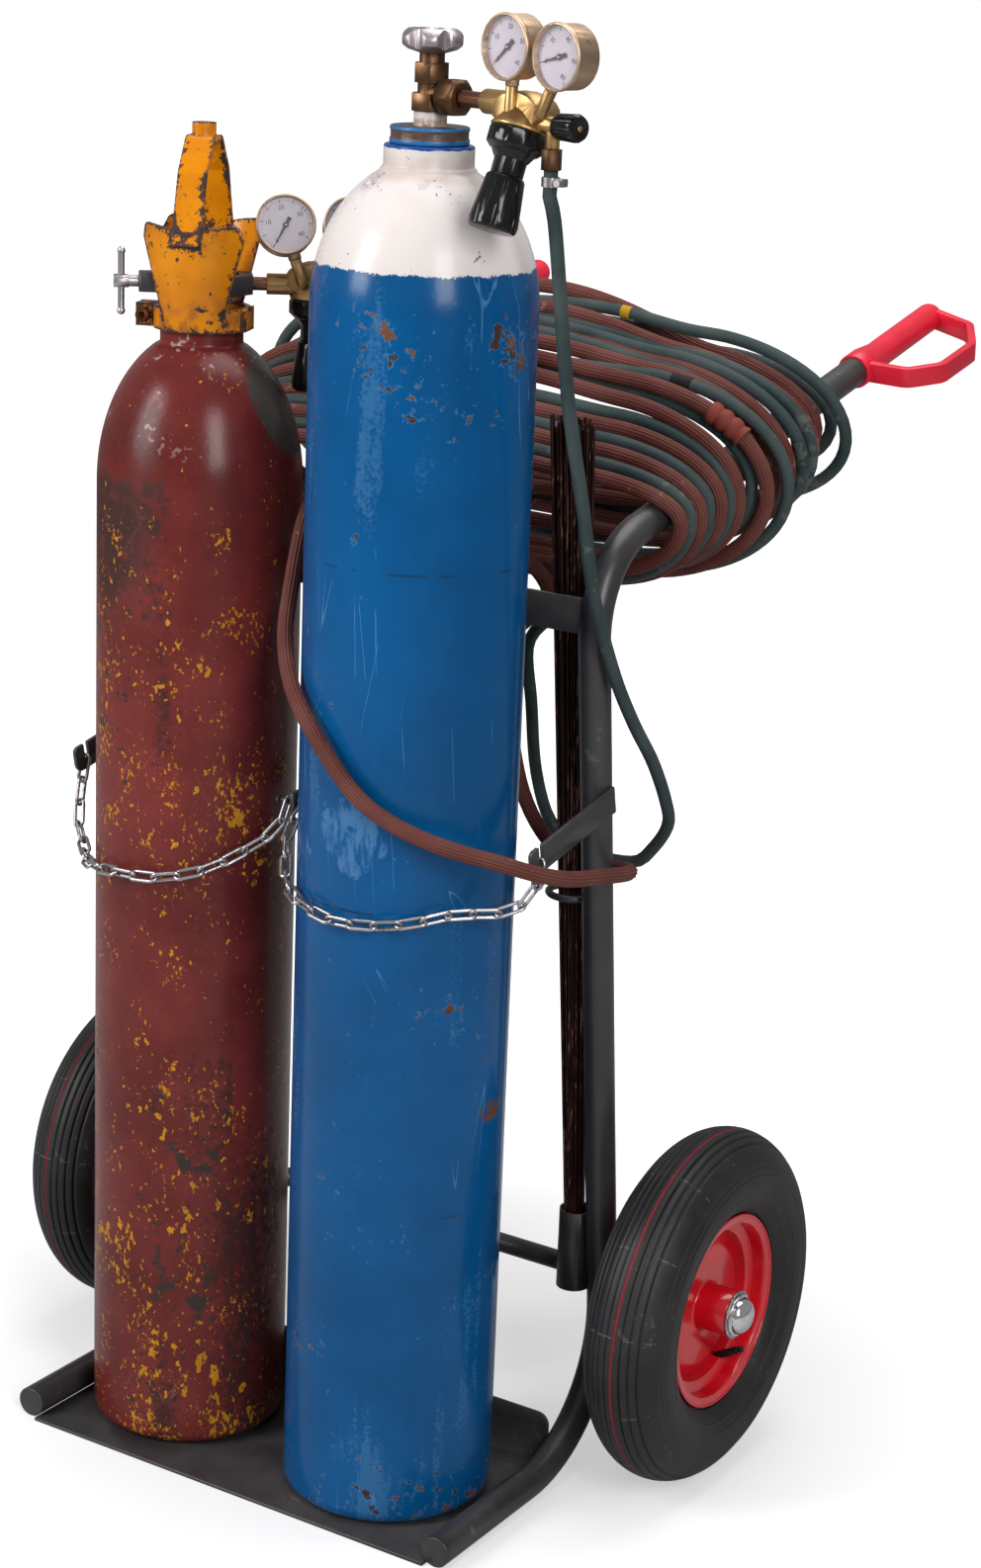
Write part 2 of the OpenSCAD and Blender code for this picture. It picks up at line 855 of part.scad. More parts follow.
body_r = 34;
body_top = 19;
flat_front = 14;
cone_r = 28;
cone_tip = 17;
side_d = 17;
outlet_d = 14;
bonnet_drop = 20;
neck_drop = 64;
inlet_rise = 5;
boss_start = 52;
outlet_x = 39;
outlet_drop = 52;
nut_h = 20;
side_drop = 11;
side_end = 46;
out_knob_d = 27;
out_knob_len = 29;
spindle_small = 8;
oxygen_reach = 132;
oxygen_seat = 26;
oxygen_pipe_d = 16;
oxygen_knob_lean = 19;
oxygen_gauge_lean = 0;
acetylene_reach = 119;
acetylene_pipe_d = 14;
acetylene_knob_lean = 0;
acetylene_gauge_lean = 15;
yoke_drop = 6;

// Gauges: the middle of the case (x, y, z) and its lean to the right, degrees
oxygen_gauges = [[-1, -15, 59, 3], [68, -15, 54, 30]];
acetylene_gauges = [[-34, -15, 52, -17], [36, -15, 52, 17]];
stem_gap = 5;
function gauge_at(g, reach) = [g.x, g.y, g.z] - (gauge_d / 2 + reach) * [sin(g[3]), 0, cos(g[3])];

module at_oxygen_regulator() {
    at_oxygen(outlet_z)
    rotate([0, 0, -oxygen_turn])
    translate([oxygen_reach, 0, -inlet_rise])
    children();
}

module at_acetylene_regulator() {
    at_acetylene(yoke_z) rotate([0, 0, yoke_turn]) translate([acetylene_reach, 0, yoke_drop]) children();
}

module regulator_body(pipe_d, pipe_z, pipe_start, knob_lean, gauge_lean, gauges) {
    // Dome with a flat front, out of which a cone runs down to the bonnet
    difference() {
        union() {
            difference() {
                rotate_extrude()
                polygon(concat(
                    [[0, -bonnet_drop + 4], [body_r - 12, -bonnet_drop + 4]],
                    [for (a = [-10 : 20 : 90]) [body_r * cos(a), -2 + (body_top + 2) * sin(a)]]
                ));
                translate([-body_r, -flat_front - body_r, -body_r]) cube([2 * body_r, body_r, 2 * body_r]);
            }
            rotate([-knob_lean, 0, 0])
            rotate_extrude()
            polygon([
                [0, -bonnet_drop], [cone_r - 1, -bonnet_drop], [cone_r, -bonnet_drop + 1],
                [cone_r, -bonnet_drop + 2.5], [1, cone_tip], [0, cone_tip]
            ]);
            translate([pipe_start, 0, pipe_z]) rotate([0, 90, 0]) cylinder(d = pipe_d, h = -pipe_start);
            translate([-boss_start, 0, pipe_z])
            rotate([0, 90, 0])
            cylinder(d = pipe_d + 8, h = boss_start - 10);
            translate([0, 0, -side_drop]) rotate([0, 90, 0]) cylinder(d = side_d, h = side_end);
            translate([outlet_x, 0, nut_h - outlet_drop])
            cylinder(d = outlet_d, h = outlet_drop - nut_h - side_drop);
            for (g = gauges)
                rotate([-gauge_lean, 0, 0]) bar(gauge_at(g, 32), gauge_at(g, stem_gap), 12);
        }
        translate([side_end - 16, 0, -side_drop])
        rotate([0, 90, 0])
        cylinder(d = spindle_small + 2 * running_gap, h = 16 + cut);
    }
}

module each_gauge(gauge_lean, gauges) {
    for (g = gauges)
        rotate([-gauge_lean, 0, 0])
        translate([g.x, g.y, g.z])
        rotate([0, g[3], 0])
        facing_front()
        children();
}

module all_gauges() {
    at_oxygen_regulator() each_gauge(oxygen_gauge_lean, oxygen_gauges) children();
    at_acetylene_regulator() each_gauge(acetylene_gauge_lean, acetylene_gauges) children();
}

module oxygen_regulator() {
    color("#b08a4e")
    at_oxygen_regulator()
    regulator_body(
        oxygen_pipe_d, inlet_rise, oxygen_seat + seat_gap - oxygen_reach,
        oxygen_knob_lean, oxygen_gauge_lean, oxygen_gauges
    );
}

module oxygen_inlet_nut() {
    nut_d = 39;
    nut_r = nut_d / 2;
    nut_start = 21;
    nut_len = 24;
    seat = oxygen_seat - nut_start + seat_gap;
    color("#7d5d3a")
    at_oxygen(outlet_z)
    rotate([0, 0, -oxygen_turn])
    translate([nut_start, 0, 0])
    rotate([0, 90, 0])
    difference() {
        intersection() {
            rotate([0, 0, 30]) cylinder(d = nut_d, h = nut_len, $fn = 6);
            rotate_extrude()
            polygon([
                [0, 0], [nut_r - 3, 0], [nut_r, 3], [nut_r, nut_len - 5], [nut_r - 5, nut_len], [0, nut_len]
            ]);
        }
        translate([0, 0, -cut]) cylinder(d = 24 + 2 * weld_gap, h = seat + cut);
        cylinder(d = oxygen_pipe_d + 2 * weld_gap, h = nut_len + cut);
    }
}

module bonnet(knob_lean) {
    rim_r = 27.5;
    color(knob_black)
    rotate([-knob_lean, 0, 0])
    mirror([0, 0, 1])
    difference() {
        union() {
            translate([0, 0, bonnet_drop])
            intersection() {
                cylinder(r = rim_r + 1, h = 20, $fn = 12);
                rotate_extrude()
                polygon([[0, 0], [rim_r - 1, 0], [rim_r + 1, 3], [rim_r + 1, 15], [rim_r - 4, 20], [0, 20]]);
            }
            translate([0, 0, bonnet_drop + 20 - cut]) cylinder(r1 = rim_r - 5, r2 = 17, h = 9);
            cylinder_from_to(bonnet_drop + 20, neck_drop, 16);
        }
        translate([0, 0, neck_drop - 20]) cylinder(d = spindle_small + 2 * running_gap, h = 20 + cut);
    }
}

module cylinder_from_to(low, high, r) {
    translate([0, 0, low]) cylinder(r = r, h = high - low);
}

module oxygen_bonnet() {
    at_oxygen_regulator() bonnet(oxygen_knob_lean);
}

module adjusting_knob(knob_lean) {
    // Tapered hand knob with scooped flutes, on the end of its screw
    flutes = 8;
    start = neck_drop + seat_gap;
    color(knob_black)
    rotate([-knob_lean, 0, 0])
    mirror([0, 0, 1]) {
        difference() {
            translate([0, 0, start])
            rotate_extrude()
            polygon([
                [0, 0], [knob_d / 2 - 7, 0], [knob_d / 2 - 5.5, 2], [knob_d / 2, knob_len - 8],
                [knob_d / 2 - 1, knob_len - 2], [knob_d / 2 - 3, knob_len], [0, knob_len]
            ]);
            for (k = [0 : flutes - 1])
                rotate([0, 0, 360 * k / flutes])
                translate([knob_d / 2 + 2.5, 0, start + 8])
                cylinder(d = 9, h = knob_len);
        }
        translate([0, 0, neck_drop - 18]) cylinder(d = spindle_small, h = 19);
    }
}

module oxygen_adjusting_knob() {
    at_oxygen_regulator() adjusting_knob(oxygen_knob_lean);
}

module outlet_knob() {
    flutes = 12;
    start = side_end + seat_gap;
    r = out_knob_d / 2;
    color(knob_black)
    translate([0, 0, -side_drop])
    rotate([0, 90, 0]) {
        difference() {
            translate([0, 0, start])
            rotate_extrude()
            polygon([
                [0, 0], [r - 2, 0], [r - 1, 2], [r, out_knob_len - 4], [r - 2, out_knob_len],
                [0, out_knob_len]
            ]);
            for (k = [0 : flutes - 1])
                rotate([0, 0, 360 * k / flutes])
                translate([r + 1, 0, start + 4])
                cylinder(d = 4, h = out_knob_len);
        }
        translate([0, 0, side_end - 14]) cylinder(d = spindle_small, h = 15);
    }
}

module oxygen_outlet_knob() {
    at_oxygen_regulator() outlet_knob();
}

// Gauges: a round case, a dial plate with the pivot pin, a needle and a lens

case_wall = 2.5;
recess = 8;
pivot_d = 2;

module gauge_cases() {
    r = gauge_d / 2;
    color("#a68b5e")
    all_gauges()
    difference() {
        union() {
            translate([0, 0, -gauge_depth / 2])
            rotate_extrude()
            polygon([
                [0, 0], [r - 3, 0], [r - 1, 2], [r - 1, gauge_depth - 6], [r, gauge_depth - 5],
                [r, gauge_depth - 1], [r - 1, gauge_depth], [0, gauge_depth]
            ]);
            rotate([90, 0, 0]) cylinder(d = 14, h = gauge_d / 2 + stem_gap - seat_gap, $fn = 6);
        }
        translate([0, 0, gauge_depth / 2 - recess]) cylinder(d = gauge_d - 2 * case_wall, h = recess + cut);
    }
}

module gauge_dials() {
    color("#e4dfe4")
    all_gauges()
    translate([0, 0, gauge_depth / 2 - recess]) {
        cylinder(d = gauge_d - 2 * case_wall - 2 * weld_gap, h = 1);
        cylinder(d = pivot_d, h = 4);
    }
}

module gauge_lenses() {
    color("#dfe6ea", 0.35)
    all_gauges()
    translate([0, 0, gauge_depth / 2 - 2]) cylinder(d = gauge_d - 2 * case_wall - 2 * weld_gap, h = 1.4);
}

// Needle lying over the dial, pointing at the start of the scale
needle_start = 225;

module needle() {
    reach = gauge_d / 2 - 9;
    color("#33302f")
    translate([0, 0, gauge_depth / 2 - recess + 2])
    rotate([0, 0, needle_start])
    difference() {
        union() {
            linear_extrude(0.8)
            polygon([[-9, -2.2], [-9, 2.2], [0, 1.6], [reach, 0.4], [reach, -0.4], [0, -1.6]]);
            cylinder(d = 6, h = 1.2);
        }
        translate([0, 0, -cut]) cylinder(d = pivot_d + 2 * running_gap, h = 3 * cut);
    }
}

module oxygen_cylinder_needle() {
    at_oxygen_regulator() each_gauge(oxygen_gauge_lean, [oxygen_gauges[0]]) needle();
}

module oxygen_line_needle() {
    at_oxygen_regulator() each_gauge(oxygen_gauge_lean, [oxygen_gauges[1]]) needle();
}

module acetylene_cylinder_needle() {
    at_acetylene_regulator() each_gauge(acetylene_gauge_lean, [acetylene_gauges[0]]) needle();
}

module acetylene_line_needle() {
    at_acetylene_regulator() each_gauge(acetylene_gauge_lean, [acetylene_gauges[1]]) needle();
}

// Acetylene cylinder and its guarded valve

acetylene_neck_r = 43.6;
acetylene_neck_top = acetylene_body_h + acetylene_dome_h + 15;
guard_z = acetylene_neck_top - 15;
yoke_z = guard_z + 47;

module at_acetylene(z = 0) {
    at_axle() translate([-acetylene_x, acetylene_y, floor_z + z]) children();
}

module acetylene_cylinder() {
    color("#6a2826")
    at_acetylene()
    rotate_extrude()
    polygon(cylinder_section(
        acetylene_r, acetylene_body_h, acetylene_dome_h, acetylene_neck_r, acetylene_neck_top, valve_bore_r
    ));
}

guard_ring_h = 24;
guard_ring_r = 50.5;
petal_t = 5;
petal_low = guard_z + 15;
petal_top = guard_z + 112;
ear_x = -59;
ear_half = 13;
ear_bolt_d = 8;

module guard_petal() {
    // A flared wall cut to a tulip outline with a hollowed top edge
    low_r = guard_ring_r - petal_t;
    high_r = low_r + 17.5;
    intersection() {
        rotate_extrude()
        polygon([
            [low_r, petal_low - 4], [low_r + petal_t, petal_low - 4], [low_r + petal_t, petal_low],
            [high_r + petal_t, petal_top + 4], [high_r, petal_top + 4], [low_r, petal_low]
        ]);
        facing_front()
        linear_extrude(2 * guard_ring_r)
        polygon(rounded([
            [-31, petal_low - 3], [31, petal_low - 3], [53, petal_top - 16], [48, petal_top],
            [26, petal_top - 3], [0, petal_top - 9], [-26, petal_top - 3], [-48, petal_top],
            [-53, petal_top - 16]
        ], 5, 3));
    }
}

module acetylene_guard() {
    // Strap over the valve: its feet, bends and crown, each a half width and a height
    arch_w = 30;
    arch_t = 6.5;
    foot = [65, petal_top - 22];
    bend = [42, petal_top + 49];
    crown = [15, petal_top + 83];
    socket_d = 25;
    socket_h = 16;
    socket_bore = 17;
    arch = softened([
        [-foot.x, foot.y], [-bend.x, bend.y], [-crown.x, crown.y], crown, bend, foot
    ], 9, 4);
    color("#d8900f")
    at_acetylene()
    rotate([0, 0, guard_turn])
    difference() {
        union() {
            translate([0, 0, guard_z])
            difference() {
                union() {
                    cylinder(r = guard_ring_r, h = guard_ring_h);
                    translate([ear_x - 9, -ear_half, 0]) cube([24, 2 * ear_half, guard_ring_h]);
                    translate([guard_ring_r - 8, -17, 0]) cube([9, 34, guard_ring_h]);
                }
                translate([0, 0, -cut])
                cylinder(r = acetylene_neck_r + seat_gap, h = guard_ring_h + 2 * cut);
                translate([ear_x - 20, -2, -cut]) cube([40, 4, guard_ring_h + 2 * cut]);
            }
            for (back = [0, 180])
                rotate([0, 0, back]) guard_petal();
            side_plate(arch_w) polygon(band(arch, arch_t));
            translate([0, 0, crown.y - 3]) cylinder(d = socket_d, h = socket_h + 3);
        }
        translate([0, 0, crown.y + socket_h / 2]) cylinder(d = socket_bore, h = socket_h);
        translate([ear_x, 0, guard_z + guard_ring_h / 2])
        facing_front()
        cylinder(d = ear_bolt_d + 2 * weld_gap, h = 50, center = true);
    }
}

module guard_clamp_bolt() {
    head_d = 15;
    color("#5b4030")
    at_acetylene(guard_z + guard_ring_h / 2)
    rotate([0, 0, guard_turn])
    translate([ear_x, 0, 0])
    facing_front()
    difference() {
        union() {
            translate([0, 0, -ear_half - 8]) cylinder(d = ear_bolt_d, h = 2 * ear_half + 10);
            translate([0, 0, ear_half + weld_gap]) cylinder(d = head_d, h = 8);
            translate([0, 0, -ear_half - weld_gap - 7]) cylinder(d = head_d, h = 7, $fn = 6);
        }
        translate([0, 0, ear_half + 4]) cylinder(d = 7, h = 6, $fn = 6);
    }
}

valve_r = 17;

module acetylene_valve() {
    top = guard_z + 83;
    hex_top = acetylene_neck_top + 8;
    color("#8a6a3c")
    at_acetylene() {
        translate([0, 0, acetylene_neck_top - 24]) cylinder(r = valve_bore_r - weld_gap, h = 25);
        translate([0, 0, acetylene_neck_top]) cylinder(r = 21, h = hex_top - acetylene_neck_top, $fn = 6);
        translate([0, 0, hex_top - cut]) cylinder(r = valve_r, h = top - hex_top + cut);
        translate([0, 0, top - cut]) cylinder(r = 11, h = 10);
        translate([-4, -4, top + 8]) cube([8, 8, 14]);
    }
}

yoke_h = 20;
yoke_left = -66;
yoke_right = 52;
screw_d = 12;

module at_yoke() {
    at_acetylene(yoke_z) rotate([0, 0, yoke_turn]) children();
}

module acetylene_yoke() {
    // Flat stirrup round the valve: screw boss on the left, inlet seat on the right
    half = 38;
    arm = 11;
    outer = [
        [yoke_left, -11], [-50, -13], [-28, -half], [26, -half], [yoke_right, -14],
        [yoke_right, 14], [26, half], [-28, half], [-50, 13], [yoke_left, 11]
    ];
    inner = [
        [-42, -7], [-22, arm - half], [20, arm - half], [38, -11],
        [38, 11], [20, half - arm], [-22, half - arm], [-42, 7]
    ];
    color("#232124")
    at_yoke()
    difference() {
        translate([0, 0, -yoke_h / 2])
        linear_extrude(yoke_h)
        difference() {
            polygon(rounded(outer, 3, 3));
            polygon(rounded(inner, 3, 3));
        }
        translate([yoke_left - cut, 0, 0])
        rotate([0, 90, 0])
        cylinder(d = screw_d + 2 * running_gap, h = 30);
        translate([yoke_right - 20, 0, 0])
        rotate([0, 90, 0])
        cylinder(d = acetylene_pipe_d + 2 * weld_gap, h = 30);
    }
}

bar_d = 7;
head_out = 84;

module clamp_screw() {
    head_len = 16;
    color(zinc)
    at_yoke()
    difference() {
        union() {
            translate([-head_out, 0, 0])
            rotate([0, 90, 0])
            cylinder(d = screw_d, h = head_out - valve_r - seat_gap);
            translate([-head_out - head_len / 2, 0, 0])
            rotate([0, 90, 0])
            cylinder(d = screw_d + 2, h = head_len);
        }
        translate([-head_out, 0, -20]) cylinder(d = bar_d + 2 * running_gap, h = 40);
    }
}

module tommy_bar() {
    bar_len = 68;
    stop_d = 8.6;
    color(zinc)
    at_yoke()
    translate([-head_out, 0, 0]) {
        cylinder(d = bar_d, h = bar_len, center = true);
        for (end = [-1, 1])
            translate([0, 0, end * (bar_len / 2 - 3)]) sphere(d = stop_d);
    }
}

module acetylene_regulator() {
    color("#b08a4e")
    at_acetylene_regulator()
    regulator_body(
        acetylene_pipe_d, -yoke_drop, valve_r + seat_gap - acetylene_reach,
        acetylene_knob_lean, acetylene_gauge_lean, acetylene_gauges
    );
}

module acetylene_bonnet() {
    at_acetylene_regulator() bonnet(acetylene_knob_lean);
}

module acetylene_adjusting_knob() {
    at_acetylene_regulator() adjusting_knob(acetylene_knob_lean);
}

module acetylene_outlet_knob() {
    at_acetylene_regulator() outlet_knob();
}

// Hoses: nuts at the regulators, clamps, free stretches, windings and end connectors

module each_outlet() {
    at_oxygen_regulator() translate([outlet_x, 0, -outlet_drop]) children();
    at_acetylene_regulator() translate([outlet_x, 0, -outlet_drop]) children();
}

module hose_nuts() {
    color("#8f6f45")
    each_outlet()
    difference() {
        cylinder(d = 20.5, h = nut_h - seat_gap, $fn = 6);
        translate([0, 0, -cut]) cylinder(d = 6, h = nut_h);
    }
}

module hose_clamps() {
    strip = 9;
    color(zinc)
    each_outlet()
    translate([0, 0, -6 - strip])
    difference() {
        union() {
            cylinder(d = hose_d + 2.6, h = strip);
            translate([hose_d / 2, -4, 1]) cube([9, 8, 7]);
        }
        translate([0, 0, -cut]) cylinder(d = hose_d + 1, h = strip + 2 * cut);
    }
}

// Each hose leaves its nut downwards, follows these points, measured from the axle, and joins its winding
oxygen_outlet = [
    oxygen_x + (oxygen_reach + outlet_x) * cos(oxygen_turn),
    oxygen_y - (oxygen_reach + outlet_x) * sin(oxygen_turn),
    floor_z + outlet_z - inlet_rise - outlet_drop - seat_gap
];
acetylene_outlet = [
    -acetylene_x + (acetylene_reach + outlet_x) * cos(yoke_turn),
    acetylene_y + (acetylene_reach + outlet_x) * sin(yoke_turn),
    floor_z + yoke_z + yoke_drop - outlet_drop - seat_gap
];
green_points = [
    [300, -264, 1390], [300, -228, 1230], [302, -190, 1107], [303, -165, 1022], [308, -125, 934],
    [314, -90, 875], [321, -55, 825], [325, -30, 778], [316, -5, 743], [290, 10, 707], [261, 20, 684],
    [200, 30, 680], [150, 32, 702], [128, 28, 760], [124, 18, 840], [122, 10, 910]
];
red_points = [
    [-31, -126, 1190], [-28, -150, 1130], [-18, -200, 1085], [-13, -228, 1058], [-6, -258, 990],
    [10, -287, 950], [49, -328, 916], [96, -354, 879], [149, -358, 828], [189, -348, 801], [240, -333, 783],
    [290, -302, 768], [314, -265, 752], [321, -215, 736], [320, -150, 722], [316, -95, 710], [300, -55, 701],
    [265, -35, 693], [215, -26, 690], [168, -10, 700], [132, -8, 750], [112, -12, 840], [106, -15, 910]
];

// Shape of the winding, by place along the handle: it lies on the handles and sags between them
hug = tube_r + hose_d / 2 + 2;
winding_len = 400;
first_lift = 45;
function swell(s) = sin(180 * pow(max(0, min(1, (s - first_turn) / winding_len)), 0.9));
function turn_over(s) = hug + turn_swell * swell(s);
function turn_under(s) =
    hug + (turn_swell + 10) * (1 - pow((s - 200) / 330, 2)) - first_lift * max(0, 1 - (s - first_turn) / 48);
function turn_beside(s) = hug + 14 * swell(s);
// The last turns lie loose and arch up between the handles
function turn_arch(s) = 12 + 48 * pow(max(0, (s - first_turn) / winding_len), 2);
// Ring k of the 24 in a turn: left below, up round the left handle, back above, down round the right
function turn_ring(s, k) =
    let (
        left = k >= 2 && k <= 9,
        right = k >= 14 && k <= 21,
        a = left ? -90 + (k - 2) * 180 / 7 : right ? 90 - (k - 14) * 180 / 7 : 0,
        rise = sin(a) < 0 ? turn_under(s) * sin(a) : turn_over(s) * sin(a),
        run = side_x * (k < 2 ? -0.2 - 0.4 * k : k < 14 ? -0.6 + 0.4 * (k - 10) : 0.6 - 0.4 * (k - 22))
    )
    left ? handle_point(s, -side_x - turn_beside(s) * cos(a), rise)
    : right ? handle_point(s, side_x + turn_beside(s) * cos(a), rise)
    : k > 9 && k < 14 ? handle_point(s, run, turn_over(s) + turn_arch(s) * (1 - pow(run / side_x, 2)))
    : handle_point(s, run, -turn_under(s));
function winding(start) =
    let (
        rings = 24 * turns,
        body = [for (i = [1 : rings - 1]) turn_ring(start + 2 * turn_step * i / 24, i % 24)],
        first = turn_ring(start, 0),
        last = turn_ring(start + 2 * turn_step * turns, 0)
    )
    concat([first, first - [hose_d, 0, 0]], body, [last + [hose_d, 0, 0], last]);
red_winding = winding(first_turn);
green_winding = winding(first_turn + turn_step);
// Least gap of a winding to itself, on its own points, a third of a turn or more apart
function least_gap(p) = min([
    for (i = [0 : len(p) - 9])
    for (j = [i + 8 : len(p) - 1]) norm(p[i] - p[j])
]) - hose_d;
echo(red_winding_least_gap = least_gap(red_winding), green_winding_least_gap = least_gap(green_winding));

// Free stretch: straight out of the nut, an even run of rings, straight into the winding
ring_step = 48;
function hose_path(outlet, points, start) =
    let (
        down = [0, 0, -hose_d],
        back = [hose_d, 0, 0],
        rise = [[start.x + 160, start.y, start.z - 52], [start.x + 140, start.y, start.z - 18],
                [start.x + 105, start.y, start.z - 2]],
        nut_end = [outlet + down, outlet + 2 * down],
        fine = spline(concat(nut_end, points, rise, [start + 2 * back, start + back]), 8),
        run = cumulative(fine),
        reach = run[len(run) - 1],
        rings = round(reach / ring_step)
    )
    concat([outlet], [for (i = [0 : rings]) along(fine, run, reach * i / rings)], [start]);
red_path = hose_path(acetylene_outlet, red_points, red_winding[0]);
green_path = hose_path(oxygen_outlet, green_points, green_winding[0]);

module red_hose() {
    color("#7a3c34") at_axle() swept(red_path, hose_d, 8);
}

module green_hose() {
    color("#324c4c") at_axle() swept(green_path, hose_d, 8);
}

module red_hose_winding() {
    color("#7a3c34") at_axle() swept(red_winding, hose_d, 6);
}

module green_hose_winding() {
    color("#324c4c") at_axle() swept(green_winding, hose_d, 6);
}

module hose_connectors() {
    color(brass)
    at_axle()
    for (w = [red_winding, green_winding])
        translate(w[len(w) - 1] - [seat_gap, 0, 0])
        rotate([0, -90, 0]) {
            cylinder(d = hose_d - 1, h = 10);
            translate([0, 0, 9]) cylinder(d = hose_d + 4, h = 16, $fn = 6);
            translate([0, 0, 24]) cylinder(d = hose_d - 3, h = 8);
        }
}

// Chains: links threaded along a slack curve from the bracket slot to the cross pin

module chain_link(link) {
    bend_r = (link_w - wire_d) / 2;
    straight = link - link_w;
    for (s = [-1, 1]) {
        translate([s * bend_r, 0, -straight / 2]) cylinder(d = wire_d, h = straight);
        translate([0, 0, s * straight / 2])
        rotate([s * 90, 0, 0])
        rotate_extrude(angle = 180)
        translate([bend_r, 0])
        circle(d = wire_d);
    }
}

bracket_x = side_x + tube_r + weld_gap + bracket_t / 2;
pin_clear = wire_d / 2 + hook_pin_d / 2 + seat_gap;
pin_left = hook_x - hook_pin_half / 2;
pin_right = hook_x + hook_pin_half / 2;
// The first link hangs straight through its slot, and the last ends behind its pin, in line with its way in
function from_slot(x) = [
    [x, chain_y, chain_z], [x, chain_y - 3.5, chain_z - 17], [x, chain_y - 7.5, chain_z - 34]
];
function over_pin(x, dy, dz) = [
    [x, chain_y - dy, chain_z - dz], [x, chain_y, chain_z],
    [x, chain_y, chain_z] + pin_clear * unit([0, dy, dz])
];
// A place on a cylinder's front, by angle from straight ahead and height, with room for the links
link_room = link_w / 2 + 4;
function on_oxygen(a, z) = [
    oxygen_x + (oxygen_r + link_room) * sin(a), oxygen_y - (oxygen_r + link_room) * cos(a), z
];
function on_acetylene(a, z) = [
    -acetylene_x + (acetylene_r + link_room) * sin(a), acetylene_y - (acetylene_r + link_room) * cos(a), z
];
left_chain_points = concat(from_slot(-bracket_x), [
    [-288, chain_y - 24, chain_z - 72], on_acetylene(-58, 668), on_acetylene(-40, 668),
    on_acetylene(-23, 672), on_acetylene(-8, 676), on_acetylene(6, 677), on_acetylene(20, 679),
    on_acetylene(41, 689), on_acetylene(61, 706)
], over_pin(pin_left, 18, 27));
right_chain_points = concat(from_slot(bracket_x), [
    [280, chain_y - 26, chain_z - 54], on_oxygen(57, 702), on_oxygen(41, 696), on_oxygen(27, 691),
    on_oxygen(11, 688), on_oxygen(-3, 687), on_oxygen(-18, 691), on_oxygen(-33, 695), on_oxygen(-46, 702),
    on_oxygen(-58, 716)
], over_pin(pin_right, 30, 22));

module chain(points) {
    // An even count of links near the stated length, each just clear of the next
    path = spline(points, 6);
    run = cumulative(path);
    reach = run[len(run) - 1];
    slack = 2 * wire_d + 0.9;
    count = 2 * round((reach + wire_d - slack) / (link_len - slack) / 2);
    link = (reach + wire_d + (count - 1) * slack) / count;
    half = (link - wire_d) / 2;
    pitch = link - slack;
    starts = [for (i = [0 : count - 1]) along(path, run, i * pitch)];
    ends = [for (i = [0 : count - 1]) along(path, run, min(2 * half + i * pitch, reach))];
    middles = (starts + ends) / 2;
    t = [for (i = [0 : count - 1]) unit(ends[i] - starts[i])];
    n = carried(t, [1, 0, 0]);
    // Turn that squares the last link to its pin, shared out along the chain
    last = count - 1;
    pin = [1, 0, 0];
    lean = atan2(pin * cross(t[last], n[last]), pin * n[last]);
    twist = lean > 90 ? lean - 180 : lean < -90 ? lean + 180 : lean;
    color(zinc)
    at_axle()
    for (i = [0 : count - 1]) {
        b = cross(t[i], n[i]);
        multmatrix([
            [n[i].x, b.x, t[i].x, middles[i].x],
            [n[i].y, b.y, t[i].y, middles[i].y],
            [n[i].z, b.z, t[i].z, middles[i].z],
            [0, 0, 0, 1]
        ])
        rotate([0, 0, 90 * (i % 2) + twist * i / last])
        chain_link(link);
    }
}

module chain_left() {
    chain(left_chain_points);
}

module chain_right() {
    chain(right_chain_points);
}

frame_tube_left();
frame_tube_right();
tube_end_caps();
toe_plate();
axle();
axle_washers();
axle_caps();
upper_crossbar();
chain_bracket_left();
chain_bracket_right();
centre_chain_hook();
rod_cup();
rod_ring();
filler_rods();
grip_left();
grip_right();
oxygen_cylinder();
oxygen_neck_ring();
oxygen_valve();
oxygen_handwheel();
oxygen_inlet_nut();
oxygen_regulator();
oxygen_bonnet();
oxygen_adjusting_knob();
oxygen_outlet_knob();
acetylene_cylinder();
acetylene_guard();
guard_clamp_bolt();
acetylene_valve();
acetylene_yoke();
clamp_screw();
tommy_bar();
acetylene_regulator();
acetylene_bonnet();
acetylene_adjusting_knob();
acetylene_outlet_knob();
gauge_cases();
gauge_dials();
gauge_lenses();
oxygen_cylinder_needle();
oxygen_line_needle();
acetylene_cylinder_needle();
acetylene_line_needle();
hose_nuts();
hose_clamps();
red_hose();
red_hose_winding();
green_hose();
green_hose_winding();
hose_connectors();
chain_left();
chain_right();
tyre_left();
tyre_right();
rim_left();
rim_right();
wheel_bearings_left();
wheel_bearings_right();
valve_stem_left();
valve_stem_right();
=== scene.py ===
"""Dresses the gas cylinder trolley: paint, rubber, brass, hoses and gauges round its fixed solids."""

import json
import math
from contextlib import contextmanager
from functools import reduce

import bmesh
import bpy
import numpy as np
from bpy.props import FloatProperty, FloatVectorProperty, IntProperty, PointerProperty
from mathutils import Matrix, Vector
from mathutils.kdtree import KDTree

